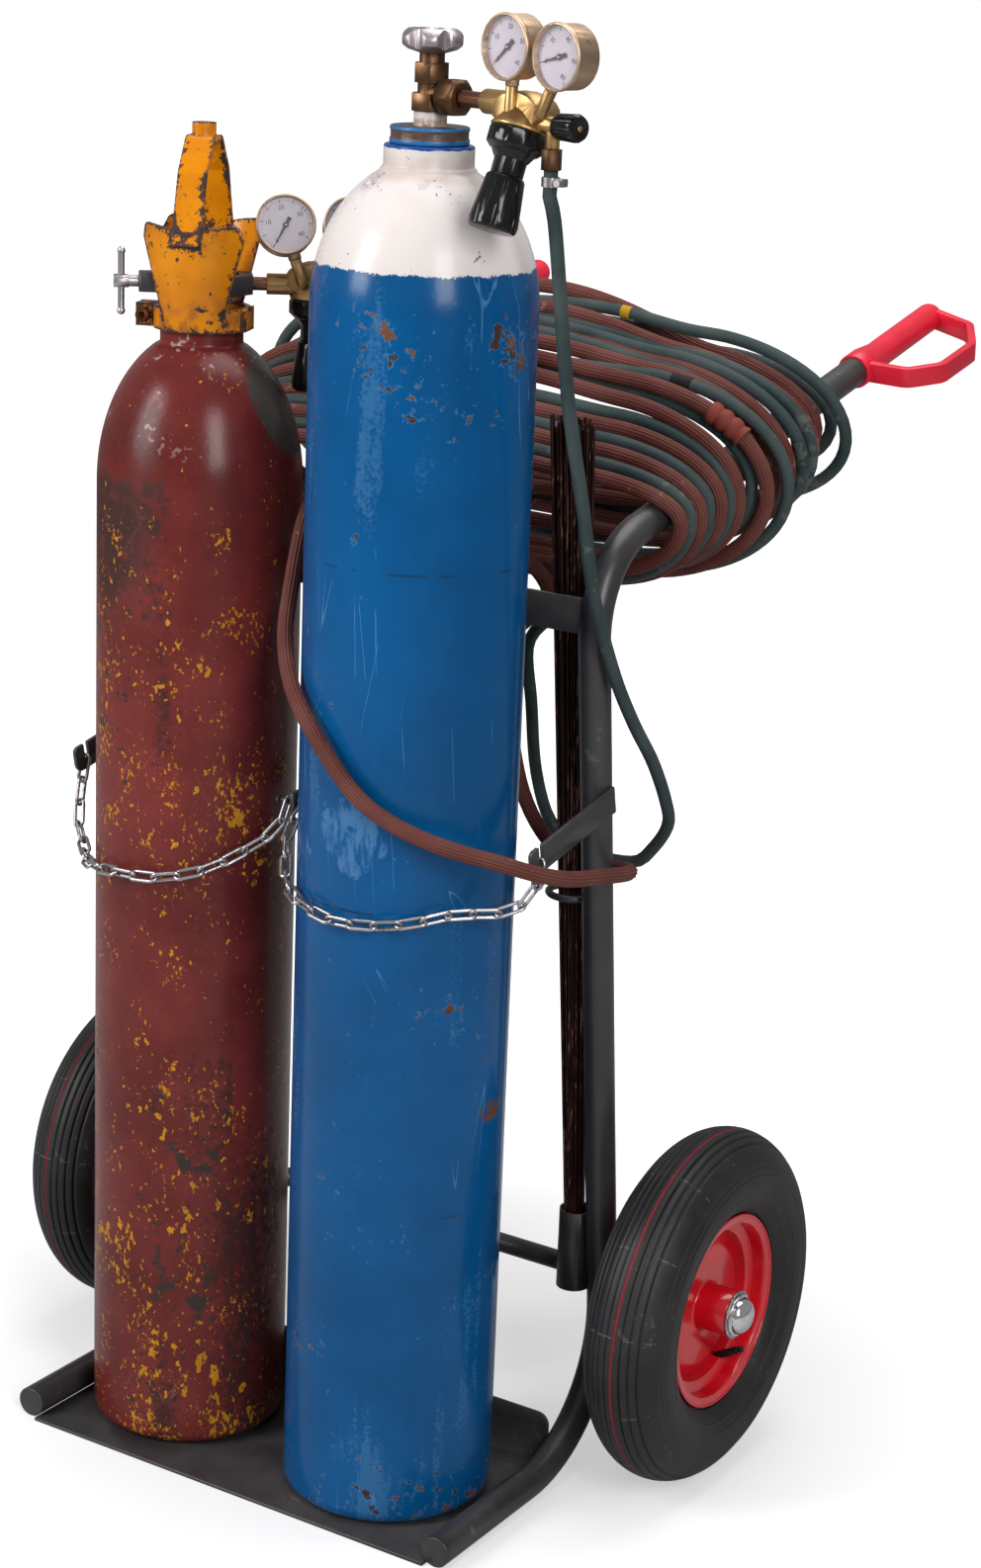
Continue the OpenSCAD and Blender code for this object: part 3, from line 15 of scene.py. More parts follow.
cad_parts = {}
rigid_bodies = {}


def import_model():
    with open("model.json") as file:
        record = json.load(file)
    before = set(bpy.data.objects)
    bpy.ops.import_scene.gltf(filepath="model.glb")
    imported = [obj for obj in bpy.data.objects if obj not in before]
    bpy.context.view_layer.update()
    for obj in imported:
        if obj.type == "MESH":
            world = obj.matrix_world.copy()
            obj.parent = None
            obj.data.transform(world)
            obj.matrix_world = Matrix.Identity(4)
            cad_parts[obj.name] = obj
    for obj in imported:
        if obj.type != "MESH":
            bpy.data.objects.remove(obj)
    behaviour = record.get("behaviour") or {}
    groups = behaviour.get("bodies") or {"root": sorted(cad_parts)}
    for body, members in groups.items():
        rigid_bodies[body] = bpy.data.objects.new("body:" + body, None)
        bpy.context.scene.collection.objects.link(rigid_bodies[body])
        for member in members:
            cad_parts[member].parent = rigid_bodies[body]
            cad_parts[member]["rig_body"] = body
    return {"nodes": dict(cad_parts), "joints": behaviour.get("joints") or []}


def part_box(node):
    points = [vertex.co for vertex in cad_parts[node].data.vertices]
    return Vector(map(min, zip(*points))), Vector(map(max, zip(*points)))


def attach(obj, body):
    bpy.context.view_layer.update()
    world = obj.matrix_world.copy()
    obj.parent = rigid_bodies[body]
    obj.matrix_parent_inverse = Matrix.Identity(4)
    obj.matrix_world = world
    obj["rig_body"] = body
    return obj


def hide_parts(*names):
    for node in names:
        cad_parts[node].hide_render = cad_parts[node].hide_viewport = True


bl_info = {
    "name": "Gas Cylinder Trolley",
    "version": (1, 0, 0),
    "blender": (4, 5, 0),
    "location": "View3D > Sidebar > Trolley",
    "description": "Builds the finishes, hoses, gauges and wheels of a two-cylinder welding trolley",
    "category": "Add Mesh",
}

for leftover in list(bpy.data.objects):
    bpy.data.objects.remove(leftover)
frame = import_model()
NODES = frame["nodes"]
JOINTS = {joint["name"]: joint for joint in frame["joints"]}
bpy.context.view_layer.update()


def middle(node):
    low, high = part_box(node)
    return (low + high) / 2


AXLE = middle("axle")
WHEEL_X = abs(middle("tyre_right").x)
OXYGEN_AXIS = middle("oxygen_cylinder").xy
ACETYLENE_AXIS = middle("acetylene_cylinder").xy
PLATE_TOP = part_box("oxygen_cylinder")[0].z


def colour(name, description, rgb):
    return FloatVectorProperty(name=name, description=description, default=rgb, size=3, subtype="COLOR",
                               min=0.0, max=1.0)


def length(name, description, metres):
    return FloatProperty(name=name, description=description, default=metres, min=0.0, subtype="DISTANCE",
                         unit="LENGTH")


def count(name, description, number, least):
    return IntProperty(name=name, description=description, default=number, min=least)


class TrolleyPaints(bpy.types.PropertyGroup):
    """Paint and plastic colours."""

    frame: colour("Frame", "Satin black of the tubes and plates", (0.031, 0.027, 0.029))
    grip: colour("Grips", "Moulded red of the grips", (0.68, 0.010, 0.035))
    rim: colour("Rims", "Gloss red of the wheel rims", (0.60, 0.004, 0.012))
    oxygen: colour("Oxygen body", "Blue of the tall cylinder", (0.0016, 0.072, 0.215))
    oxygen_scuff: colour("Oxygen scuffs", "Rubbed pale blue", (0.050, 0.165, 0.33))
    shoulder: colour("Oxygen shoulder", "Warm white of the shoulder", (0.66, 0.605, 0.59))
    acetylene: colour("Acetylene body", "Maroon of the short cylinder", (0.135, 0.018, 0.0155))
    undercoat: colour("Undercoat", "Yellow that shows where the maroon is chipped", (0.62, 0.25, 0.010))
    guard: colour("Guard", "Yellow of the valve guard", (0.62, 0.215, 0.0020))
    bare: colour("Bare metal", "Dark metal under the chips", (0.040, 0.022, 0.020))
    knob: colour("Knobs", "Gloss black of the knobs", (0.0045, 0.0040, 0.0045))


class TrolleyMetals(bpy.types.PropertyGroup):
    """Metal, rubber and dial colours."""

    bronze: colour("Valve bronze", "Dull brown brass of the valves", (0.150, 0.080, 0.043))
    brass: colour("Regulator brass", "Satin yellow brass of the regulators", (0.47, 0.295, 0.125))
    case: colour("Gauge case", "Lacquered gauge cases", (0.53, 0.375, 0.26))
    zinc: colour("Zinc", "Plated chain and screws", (0.56, 0.53, 0.55))
    aluminium: colour("Aluminium", "Bright cast handwheel", (0.43, 0.385, 0.40))
    rust: colour("Rust", "Rusty bolt and streaks", (0.135, 0.050, 0.022))
    rod: colour("Rods", "Tarnished copper coat of the rods", (0.045, 0.016, 0.011))
    red_hose: colour("Red hose", "Faded red rubber", (0.150, 0.036, 0.027))
    green_hose: colour("Green hose", "Faded green rubber", (0.032, 0.054, 0.055))
    tyre: colour("Tyre", "Black rubber", (0.011, 0.0095, 0.0105))
    dial: colour("Dial", "White of the gauge dials", (0.52, 0.46, 0.53))
    ink: colour("Ink", "Scale print", (0.012, 0.011, 0.016))


class TrolleySizes(bpy.types.PropertyGroup):
    """Sizes a user would change."""

    hose: length("Green hose diameter", "Outside diameter of the smooth hose", 0.014)
    red_hose: length("Red hose diameter", "Outside diameter of the ribbed hose", 0.0168)
    hose_ribs: count("Hose ribs", "Lengthwise ribs on the red hose", 14, 4)
    ring_step: length("Ring step", "Distance between rings of a hose's mesh", 0.012)
    paint_split: length("Paint split", "Height of the line between blue and white", 1.341)
    dial_marks: count("Dial marks", "Divisions of a gauge's scale", 40, 8)
    rods: count("Rods", "Filler rods in the cup", 38, 1)
    rod: length("Rod diameter", "Diameter of a filler rod", 0.0034)


PROPERTY_GROUPS = {"trolley_paints": TrolleyPaints, "trolley_metals": TrolleyMetals, "trolley_sizes": TrolleySizes}


def paints():
    return bpy.context.scene.trolley_paints


def metals():
    return bpy.context.scene.trolley_metals


def sizes():
    return bpy.context.scene.trolley_sizes


def shade(rgb, factor, more=0.0):
    """A colour made darker or lighter, and dustier by the same amount in each channel."""
    return [factor * c + more for c in rgb]


# Node trees


class Graph:
    """Adds nodes to a tree; a value may be a socket, which is linked, or a plain number."""

    def __init__(self, tree):
        self.tree = tree

    def add(self, kind, values=None, **settings):
        made = self.tree.nodes.new(kind)
        for name, value in settings.items():
            setattr(made, name, value)
        for key, value in (values or {}).items():
            self.put(made.inputs[key], value)
        return made

    def put(self, socket, value):
        if isinstance(value, bpy.types.NodeSocket):
            self.tree.links.new(value, socket)
        elif socket.type == "RGBA":
            socket.default_value = (*value[:3], 1.0)
        else:
            socket.default_value = value

    def math(self, operation, *values):
        return self.add("ShaderNodeMath", dict(enumerate(values)), operation=operation).outputs[0]

    def plus(self, a, b):
        return self.math("ADD", a, b)

    def minus(self, a, b):
        return self.math("SUBTRACT", a, b)

    def product(self, *factors):
        return reduce(lambda a, b: self.math("MULTIPLY", a, b), factors)

    def either(self, *masks):
        return reduce(lambda a, b: self.math("MAXIMUM", a, b), masks)

    def sway(self, value, noise, amount):
        """A value moved by an amount of noise."""
        return self.math("MULTIPLY_ADD", noise, amount, value)

    def vector(self, operation, *values):
        return self.add("ShaderNodeVectorMath", dict(enumerate(values)), operation=operation).outputs

    def xyz(self, *values):
        return self.add("ShaderNodeCombineXYZ", dict(enumerate(values))).outputs[0]

    def split(self, vector):
        return self.add("ShaderNodeSeparateXYZ", {0: vector}).outputs

    def noise(self, vector, scale, detail=2.0, roughness=0.5):
        return self.add("ShaderNodeTexNoise", {"Vector": vector, "Scale": scale, "Detail": detail,
                                               "Roughness": roughness}).outputs[0]

    def rise(self, value, low, high):
        """0 below low, 1 above high, smooth between."""
        return self.add("ShaderNodeMapRange", {"Value": value, "From Min": low, "From Max": high},
                        interpolation_type="SMOOTHSTEP").outputs[0]

    def fall(self, value, low, high):
        """1 below low, 0 above high, smooth between."""
        return self.minus(1.0, self.rise(value, low, high))

    def band(self, value, at, half):
        """1 at a value, falling to 0 half away from it."""
        return self.fall(self.math("ABSOLUTE", self.minus(value, at)), half * 0.5, half)

    def spot(self, vector, at, radius):
        """1 at a place, falling to 0 at a radius from it."""
        return self.fall(self.vector("DISTANCE", vector, at)["Value"], radius * 0.4, radius)

    def mix(self, share, a, b):
        made = self.add("ShaderNodeMix", data_type="RGBA")
        for index, value in ((0, share), (6, a), (7, b)):
            self.put(made.inputs[index], value)
        return made.outputs[2]

    def between(self, share, a, b):
        """A number between a and b."""
        return self.add("ShaderNodeMapRange", {"Value": share, "To Min": a, "To Max": b}).outputs[0]

    def place(self, shift=(0, 0, 0), stretch=(1, 1, 1), vector=None):
        source = vector or self.add("ShaderNodeTexCoord").outputs["Object"]
        return self.add("ShaderNodeMapping", {"Vector": source, "Location": shift, "Scale": stretch}).outputs[0]

    def about(self, axis):
        """Object coordinates from an upright axis, and the height."""
        at = self.place(shift=(-axis.x, -axis.y, 0))
        return at, self.split(at)[2]

    def bump(self, height, strength, distance):
        return self.add("ShaderNodeBump", {"Height": height, "Strength": strength, "Distance": distance}).outputs[0]

    def attribute(self, name):
        return self.add("ShaderNodeAttribute", attribute_name=name).outputs["Fac"]


def effect(name, inputs, outputs):
    """Makes a function's graph a shader group, built once; a call then adds the group to a material's graph."""
    def wrap(fill):
        def build():
            tree = bpy.data.node_groups.new(name, "ShaderNodeTree")
            for label in inputs:
                kind = "NodeSocketVector" if label == "Vector" else "NodeSocketFloat"
                tree.interface.new_socket(name=label, in_out="INPUT", socket_type=kind)
            for label in outputs:
                tree.interface.new_socket(name=label, in_out="OUTPUT", socket_type="NodeSocketFloat")
            g = Graph(tree)
            entry = g.add("NodeGroupInput").outputs
            made = fill(g, *[entry[label] for label in inputs])
            leave = g.add("NodeGroupOutput").inputs
            for label, value in zip(outputs, made):
                g.put(leave[label], value)
            return tree

        def use(g, *values):
            tree = bpy.data.node_groups.get(name) or build()
            made = g.add("ShaderNodeGroup", dict(zip(inputs, values)), node_tree=tree).outputs
            return made[0] if len(outputs) == 1 else (made[0], made[1])
        return use
    return wrap


@effect("Paint chips", ("Vector", "Scale", "Patches", "Limit"), ("Chips", "Rim"))
def chips(g, vector, scale, patches, limit):
    """Flakes of missing paint in patches, and the rim round each flake."""
    fine = g.noise(vector, scale, 5.0, 0.62)
    patch = g.noise(vector, g.product(scale, 0.13))
    above = g.minus(g.math("MULTIPLY_ADD", g.minus(patch, 0.5), patches, fine), limit)
    flakes = g.rise(above, 0.0, 0.012)
    return flakes, g.minus(g.rise(above, -0.035, 0.0), flakes)


@effect("Scratches", ("Vector", "Scale", "Twist", "Width", "Limit"), ("Scratches",))
def scratches(g, vector, scale, twist, width, limit):
    """Long thin broken lines that climb the surface at a slant."""
    angle = g.product(g.split(vector)[2], twist)
    turned = g.add("ShaderNodeVectorRotate", {"Vector": vector, "Angle": angle}, rotation_type="Z_AXIS").outputs[0]
    drawn = g.noise(g.place(stretch=(1, 1, 0.05), vector=turned), scale, 1.0)
    line = g.fall(g.math("ABSOLUTE", g.minus(drawn, 0.5)), 0.0, width)
    broken = g.noise(vector, g.product(scale, 0.22), 3.0)
    return [g.product(line, g.rise(broken, limit, g.plus(limit, 0.05)))]


@effect("Rub streaks", ("Vector", "Scale", "Limit"), ("Streaks",))
def streaks(g, vector, scale, limit):
    """Soft upright rub marks."""
    drawn = g.noise(g.place(stretch=(1, 1, 0.10), vector=vector), scale, 4.0, 0.6)
    patch = g.minus(g.noise(vector, g.product(scale, 0.16), 3.0), 0.5)
    grain = g.minus(g.noise(vector, g.product(scale, 9.0)), 0.5)
    level = g.sway(g.sway(drawn, patch, 0.9), grain, 0.35)
    return [g.rise(level, limit, g.plus(limit, 0.14))]


@effect("Mottle", ("Vector", "Scale"), ("Tone", "Grain"))
def mottle(g, vector, scale):
    """Slow uneven tone over a surface, and a fine grain for bumps."""
    return g.rise(g.noise(vector, scale, 5.0, 0.6), 0.3, 0.7), g.noise(vector, g.product(scale, 40.0))


def finish(name, build, **sockets):
    """A material built once: build(graph) gives the shader's varying inputs, by name or as these three."""
    found = bpy.data.materials.get(name)
    if found:
        return found
    material = bpy.data.materials.new(name)
    material.use_nodes = True
    g = Graph(material.node_tree)
    shader = material.node_tree.nodes["Principled BSDF"]
    for key, value in sockets.items():
        shader.inputs[key.replace("_", " ")].default_value = value
    made = build(g)
    if not isinstance(made, dict):
        made = dict(zip(("Base Color", "Roughness", "Normal"), made))
    for key, value in made.items():
        g.put(shader.inputs[key], value)
    return material


# Finishes


def plain(name, scale, tones, rough=None, bump=None, flaws=None, stretch=(1, 1, 1), tip=None, **sockets):
    """Two tones in patches with a grain. Flaws are chips: their scale, patches, limit, share and colour.
    Below the tip's height it is dull red."""
    def build(g):
        at = g.place(stretch=stretch)
        tone, grain = mottle(g, at, scale)
        shown = g.mix(tone, *tones)
        if flaws:
            *sort, share, rgb = flaws
            shown = g.mix(g.product(chips(g, at, *sort)[0], share), shown, rgb)
        if tip is not None:
            shown = g.mix(g.math("LESS_THAN", g.split(at)[2], tip), shown, (0.20, 0.035, 0.030))
        made = {"Base Color": shown}
        if rough:
            made["Roughness"] = g.between(tone, *rough)
        if bump:
            made["Normal"] = g.bump(grain, *bump)
        return made
    return finish(name, build, **sockets)


def frame_paint():
    base = paints().frame
    return plain("Frame black", 9.0, (shade(base, 0.75), shade(base, 0.6, 0.024)), (0.30, 0.46), (0.10, 0.0006),
                 (70.0, 0.55, 0.70, 1.0, (0.075, 0.070, 0.072)))


def grip_plastic():
    base = paints().grip
    return plain("Grip red", 22.0, (shade(base, 0.86), base), (0.30, 0.42), (0.08, 0.0004))


def yoke_paint():
    return plain("Yoke black", 30.0, ((0.012, 0.011, 0.013), (0.030, 0.028, 0.032)), (0.32, 0.5), (0.2, 0.0004))


def knob_plastic(name="Knob black", tip=None):
    base = paints().knob
    return plain(name, 40.0, (base, shade(base, 1.0, 0.004)), (0.10, 0.20), (0.02, 0.0003), tip=tip,
                 Specular_IOR_Level=0.3)


def rim_paint():
    base = paints().rim
    return plain("Rim red", 12.0, (shade(base, 0.82), base), (0.16, 0.26), (0.05, 0.0005),
                 (90.0, 0.6, 0.72, 1.0, (0.14, 0.02, 0.02)), Coat_Weight=0.4)


def rod_coat():
    base = metals().rod
    return plain("Rod coat", 160.0, (shade(base, 0.35), base), (0.34, 0.55), (0.2, 0.0003),
                 (300.0, 0.4, 0.60, 0.8, (0.26, 0.12, 0.085)), stretch=(1, 1, 0.12), Metallic=0.75)


def dial_face():
    return plain("Dial white", 50.0, (shade(metals().dial, 0.93), metals().dial), Roughness=0.45)


def ink(name, rgb):
    return plain(name, 300.0, (shade(rgb, 0.8), rgb), Roughness=0.55)


# Metals: the material's name, the share of its colour where it is tarnished, the roughness, the scale and the grain
METALS = {
    "zinc": ("Zinc plate", 0.62, 0.24, 35.0, 0.06),
    "aluminium": ("Cast aluminium", 0.8, 0.36, 20.0, 0.06),
    "bronze": ("Valve bronze", 0.5, 0.36, 35.0, 0.06),
    "brass": ("Regulator brass", 0.72, 0.34, 28.0, 0.10),
    "case": ("Gauge lacquer", 0.86, 0.38, 20.0, 0.04),
    "rust": ("Rusty steel", 0.4, 0.5, 60.0, 0.2),
}


def tarnished(name, base, dark, rough, scale, grain):
    """Metal with tarnish in patches, dark spots and fine casting grain."""
    return plain(name, scale, (dark, base), (rough + 0.16, rough), (grain, 0.0004),
                 (scale * 5.0, 0.5, 0.66, 0.7, shade(dark, 0.35)), Metallic=1.0)


def metal(kind):
    name, tarnish, *surface = METALS[kind]
    base = getattr(metals(), kind)
    return tarnished(name, base, shade(base, tarnish), *surface)


def chrome():
    return tarnished("Chrome", (0.72, 0.71, 0.73), (0.62, 0.61, 0.63), 0.06, 35.0, 0.01)


def regulator_brass(name, axis, reach, stems):
    """Brass body on a brown inlet pipe, which ends at a distance from the axis; brown stems start at a height."""
    def build(g):
        at, height = g.about(axis)
        tone, grain = mottle(g, at, 28.0)
        away = g.vector("LENGTH", g.place(stretch=(1, 1, 0), vector=at))["Value"]
        pipe = g.either(g.fall(away, reach - 0.0005, reach + 0.0005), g.rise(height, stems - 0.0005, stems + 0.0005))
        body = g.mix(tone, shade(metals().brass, 0.72), metals().brass)
        brown = g.mix(tone, (0.13, 0.058, 0.036), (0.24, 0.115, 0.075))
        return g.mix(pipe, body, brown), g.between(tone, 0.52, 0.40), g.bump(grain, 0.10, 0.0004)
    return finish(name, build, Metallic=1.0)


def hose_rubber(name, base, dusty):
    """Rubber that has faded in patches and picked up dust, darker in its grooves."""
    def build(g):
        at = g.place()
        tone = mottle(g, at, 14.0)[0]
        scuffs = chips(g, at, 60.0, 0.7, 0.69)[0]
        faded = g.mix(tone, shade(base, 0.72), g.mix(0.25, base, dusty))
        # Painted shade: the grooves between the ribs are darkened towards a quarter of the rubber's colour.
        faded = g.mix(g.product(g.attribute("groove"), 0.62), faded, shade(base, 0.25))
        return (g.mix(g.product(scuffs, 0.5), faded, dusty), g.between(tone, 0.55, 0.72),
                g.bump(g.noise(at, 900.0), 0.25, 0.0004))
    return finish(name, build, Specular_IOR_Level=0.2)


def tyre_rubber(side):
    """Black rubber with a red line in its middle groove and pale mould lines across the tread."""
    def build(g):
        at = g.place(shift=(-side * WHEEL_X, -AXLE.y, -AXLE.z))
        x, y, z = g.split(at)[:3]
        tone, grain = mottle(g, at, 16.0)
        radius = g.math("SQRT", g.plus(g.product(y, y), g.product(z, z)))
        line = g.product(g.band(x, side * 0.0045, 0.0016), g.rise(radius, 0.188, 0.190))
        turn = g.product(g.math("ARCTAN2", z, y), 13 / math.tau)
        mould = g.band(g.math("FRACT", g.plus(turn, 0.37)), 0.5, 0.010)
        pale = g.product(mould, g.rise(g.noise(at, 160.0, 1.0), 0.50, 0.56), g.rise(radius, 0.172, 0.178))
        dust = g.product(chips(g, at, 120.0, 0.5, 0.70)[0], 0.5)
        base = metals().tyre
        black = g.mix(tone, shade(base, 0.75), shade(base, 1.1, 0.006))
        black = g.mix(g.product(g.either(pale, dust), 0.55), black, (0.16, 0.14, 0.14))
        return (g.mix(g.product(line, 0.85), black, (0.30, 0.012, 0.030)), g.between(tone, 0.42, 0.58),
                g.bump(grain, 0.12, 0.0005))
    return finish("Tyre rubber " + ("right" if side > 0 else "left"), build, Specular_IOR_Level=0.35)


# Marks on the cylinders: scratches as scale, twist, width and limit; heights of the scraped rings on the blue
BLUE_SCRATCHES = ((30.0, 0.6, 0.006, 0.56), (24.0, -1.5, 0.005, 0.60), (36.0, 5.0, 0.004, 0.63))
MAROON_SCRATCHES = ((34.0, 3.5, 0.004, 0.58), (28.0, -6.0, 0.004, 0.60))
BLUE_RINGS = (1.052, 0.700, 0.365)


def blue_coat(g, at, height, tone):
    """The blue with its marks, and masks of its flakes, scratches and rub marks."""
    blue, scuff = paints().oxygen, paints().oxygen_scuff
    rubbed = g.product(streaks(g, at, 26.0, 0.62), 0.42)
    body = g.mix(rubbed, g.mix(tone, shade(blue, 0.80), shade(blue, 1.12)), scuff)
    lines = g.either(*[scratches(g, at, *sort) for sort in BLUE_SCRATCHES])
    body = g.mix(g.product(lines, 0.55), body, shade(scuff, 1.3, 0.02))
    edge = g.product(g.minus(g.noise(at, 38.0, 5.0, 0.7), 0.5), 2.4)
    patch = g.rise(g.plus(g.spot(at, (0.010, -0.114, 0.775), 0.060), edge), 0.60, 0.80)
    drawn = g.noise(g.place(stretch=(1, 1, 0.3), vector=at), 90.0, 4.0, 0.7)
    body = g.mix(g.product(patch, g.rise(drawn, 0.40, 0.58), 0.5), body, shade(scuff, 1.2, 0.03))
    wear = g.either(g.fall(height, 0.02, 0.10), g.band(height, 1.245, 0.075))
    flakes, rim = chips(g, at, 75.0, 0.55, g.minus(0.725, g.product(wear, 0.090)))
    spots = g.mix(g.rise(g.noise(at, 30.0), 0.45, 0.6), paints().bare, metals().rust)
    body = g.mix(flakes, g.mix(rim, body, scuff), spots)
    rusted = g.product(g.spot(g.place(stretch=(1, 1, 2.2), vector=at), (0.1145, 0.004, 1.03), 0.032),
                       g.rise(g.noise(at, 80.0, 4.0, 0.7), 0.44, 0.52))
    body = g.mix(rusted, body, metals().rust)
    wavy = g.sway(height, g.noise(at, 8.0), 0.006)
    rings = g.product(g.either(*[g.band(wavy, z, 0.0016) for z in BLUE_RINGS]),
                      g.rise(g.noise(at, 22.0, 3.0), 0.5, 0.58))
    return g.mix(g.product(rings, 0.7), body, (0.010, 0.030, 0.060)), flakes, lines, rubbed


def white_coat(g, at, height, tone):
    """The white shoulder with grime, a scuff and specks, its blue collar edge and the stained neck."""
    white = paints().shoulder
    top = g.mix(tone, shade(white, 0.93), white)
    grime = g.product(g.band(height, 1.436, 0.016), g.rise(g.noise(at, 24.0, 4.0), 0.30, 0.65))
    top = g.mix(g.product(grime, 0.35), top, (0.42, 0.25, 0.16))
    specks = chips(g, at, 210.0, 0.55, 0.715)[0]
    top = g.mix(g.product(chips(g, at, 18.0, 0.5, 0.70)[0], 0.6), top, (0.44, 0.40, 0.43))
    scuff = g.product(g.spot(at, (-0.031, -0.055, 1.424), 0.020), g.rise(g.noise(at, 120.0, 3.0), 0.35, 0.5))
    top = g.mix(g.product(scuff, 0.75), top, (0.42, 0.36, 0.42))
    top = g.mix(specks, top, (0.05, 0.04, 0.05))
    collar_edge = g.rise(g.sway(height, g.noise(at, 90.0), 0.004), 1.4555, 1.4565)
    top = g.mix(collar_edge, top, (0.010, 0.060, 0.26))
    dirt = g.product(g.band(height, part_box("oxygen_neck_ring")[1].z, 0.009),
                     g.rise(g.noise(at, 150.0, 3.0), 0.3, 0.6))
    stained = g.mix(g.product(dirt, 0.8), shade(white, 0.85), (0.26, 0.15, 0.06))
    return g.mix(g.rise(height, 1.4597, 1.4602), top, g.mix(specks, stained, (0.10, 0.05, 0.03)))


def oxygen_paint():
    """Blue body and white shoulder, rubbed, scratched and chipped, with a ragged line between them."""
    def build(g):
        at, height = g.about(OXYGEN_AXIS)
        tone, grain = mottle(g, at, 5.0)
        body, flakes, lines, rubbed = blue_coat(g, at, height, tone)
        uneven = g.sway(g.sway(height, g.noise(at, 60.0, 4.0), 0.009), g.noise(at, 330.0, 3.0, 0.7), 0.009)
        split_line = sizes().paint_split + 0.0090
        is_top = g.rise(uneven, split_line - 0.0007, split_line + 0.0007)
        marks = g.either(flakes, g.product(lines, 0.5), rubbed)
        return (g.mix(is_top, body, white_coat(g, at, height, tone)), g.between(marks, 0.20, 0.52),
                g.bump(g.minus(grain, g.product(flakes, 1.2)), 0.09, 0.0008))
    return finish("Oxygen paint", build, Specular_IOR_Level=0.2)


def acetylene_paint():
    """Maroon over yellow over dark primer, worn through in flakes, with a smoother repainted top."""
    def build(g):
        at, height = g.about(ACETYLENE_AXIS)
        tone, grain = mottle(g, at, 6.5)
        maroon, yellow = paints().acetylene, paints().undercoat
        body = g.mix(tone, shade(maroon, 0.62), shade(maroon, 1.15, 0.004))
        rough = g.fall(g.sway(height, g.noise(at, 14.0, 5.0), 0.05), 1.116, 1.134)
        soot = g.product(streaks(g, at, 13.0, 0.57), g.between(rough, 0.30, 0.85))
        stain = g.product(g.spot(g.place(stretch=(1, 1, 0.6), vector=at), (-0.038, -0.103, 0.627), 0.075), rough,
                          g.rise(g.noise(at, 40.0, 5.0, 0.65), 0.26, 0.50))
        soot = g.either(soot, g.product(stain, 0.9))
        body = g.mix(soot, body, (0.030, 0.013, 0.011))
        rubbed = g.product(streaks(g, g.place(shift=(3, 1, 2), vector=at), 24.0, 0.74), 0.4)
        body = g.mix(rubbed, body, (0.20, 0.085, 0.070))
        lines = g.either(*[scratches(g, at, *sort) for sort in MAROON_SCRATCHES])
        body = g.mix(g.product(lines, 0.35), body, (0.26, 0.13, 0.10))
        belts = g.either(g.fall(height, 0.05, 0.62), g.product(g.band(height, 0.82, 0.20), 0.8))
        wear = g.plus(g.product(belts, 0.048), g.product(rough, 0.040))
        drawn = g.place(stretch=(1, 1, 0.72), vector=at)
        flakes, rim = chips(g, drawn, 84.0, 0.55, g.minus(0.730, wear))
        small = chips(g, drawn, 210.0, 0.50, g.minus(0.715, wear))[0]
        body = g.mix(g.product(rim, 0.75), body, (0.045, 0.018, 0.012))
        body = g.mix(g.either(flakes, small), body, g.mix(g.noise(at, 40.0, 3.0), yellow, shade(yellow, 0.45)))
        deep = chips(g, g.place(shift=(2, 5, 1), vector=at), 48.0, 0.55, g.minus(0.74, wear))[0]
        body = g.mix(deep, body, (0.035, 0.022, 0.020))
        edge = g.product(g.minus(g.noise(at, 70.0, 4.0, 0.65), 0.5), 0.7)
        old_coat = g.rise(g.plus(g.spot(at, (0.083, 0.037, 1.178), 0.085), edge), 0.42, 0.52)
        body = g.mix(g.product(old_coat, 0.85), body, g.mix(tone, (0.030, 0.034, 0.030), (0.060, 0.068, 0.060)))
        nicked = g.minus(0.715, g.product(g.band(height, 1.228, 0.016), 0.07))
        glint = g.product(chips(g, at, 130.0, 0.7, nicked)[0], g.rise(height, 1.10, 1.17), 0.6)
        body = g.mix(glint, body, (0.42, 0.30, 0.28))
        worn = g.either(flakes, soot, g.product(lines, 0.6))
        return (body, g.sway(g.between(worn, 0.24, 0.58), rough, 0.06),
                g.bump(g.minus(grain, g.product(flakes, 1.2)), 0.14, 0.0009))
    return finish("Acetylene paint", build, Specular_IOR_Level=0.22)


def guard_paint():
    """Yellow enamel with dark chips along its edges and lips, a rusty foot and a worn top."""
    def build(g):
        at = g.place()
        tone, grain = mottle(g, at, 18.0)
        edge = g.attribute("edge")
        height = g.split(at)[2]
        base = paints().guard
        body = g.mix(tone, [0.82 * base[0], 0.74 * base[1], base[2]], base)
        low = g.fall(height, 1.262, 1.295)
        rust = g.product(g.rise(g.noise(at, 45.0, 5.0), 0.42, 0.62), low, 0.75)
        body = g.mix(rust, body, (0.24, 0.075, 0.018))
        lips = g.product(g.band(height, 1.346, 0.030), 0.055)
        wear = g.plus(g.product(edge, edge, 0.24), g.plus(g.product(low, 0.05), lips))
        flakes, rim = chips(g, at, 95.0, 0.65, g.minus(0.70, wear))
        specks = chips(g, g.place(shift=(1, 4, 2), vector=at), 240.0, 0.5, g.minus(0.715, wear))[0]
        body = g.mix(specks, body, shade(paints().bare, 1.6))
        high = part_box("acetylene_guard")[1].z
        body = g.mix(g.rise(height, high - 0.0012, high - 0.0004), body, (0.085, 0.050, 0.040))
        body = g.mix(flakes, g.mix(rim, body, shade(base, 0.45)), paints().bare)
        return (body, g.between(flakes, 0.24, 0.55),
                g.bump(g.minus(grain, g.product(flakes, 1.5)), 0.14, 0.0007))
    return finish("Guard yellow", build, Specular_IOR_Level=0.25)


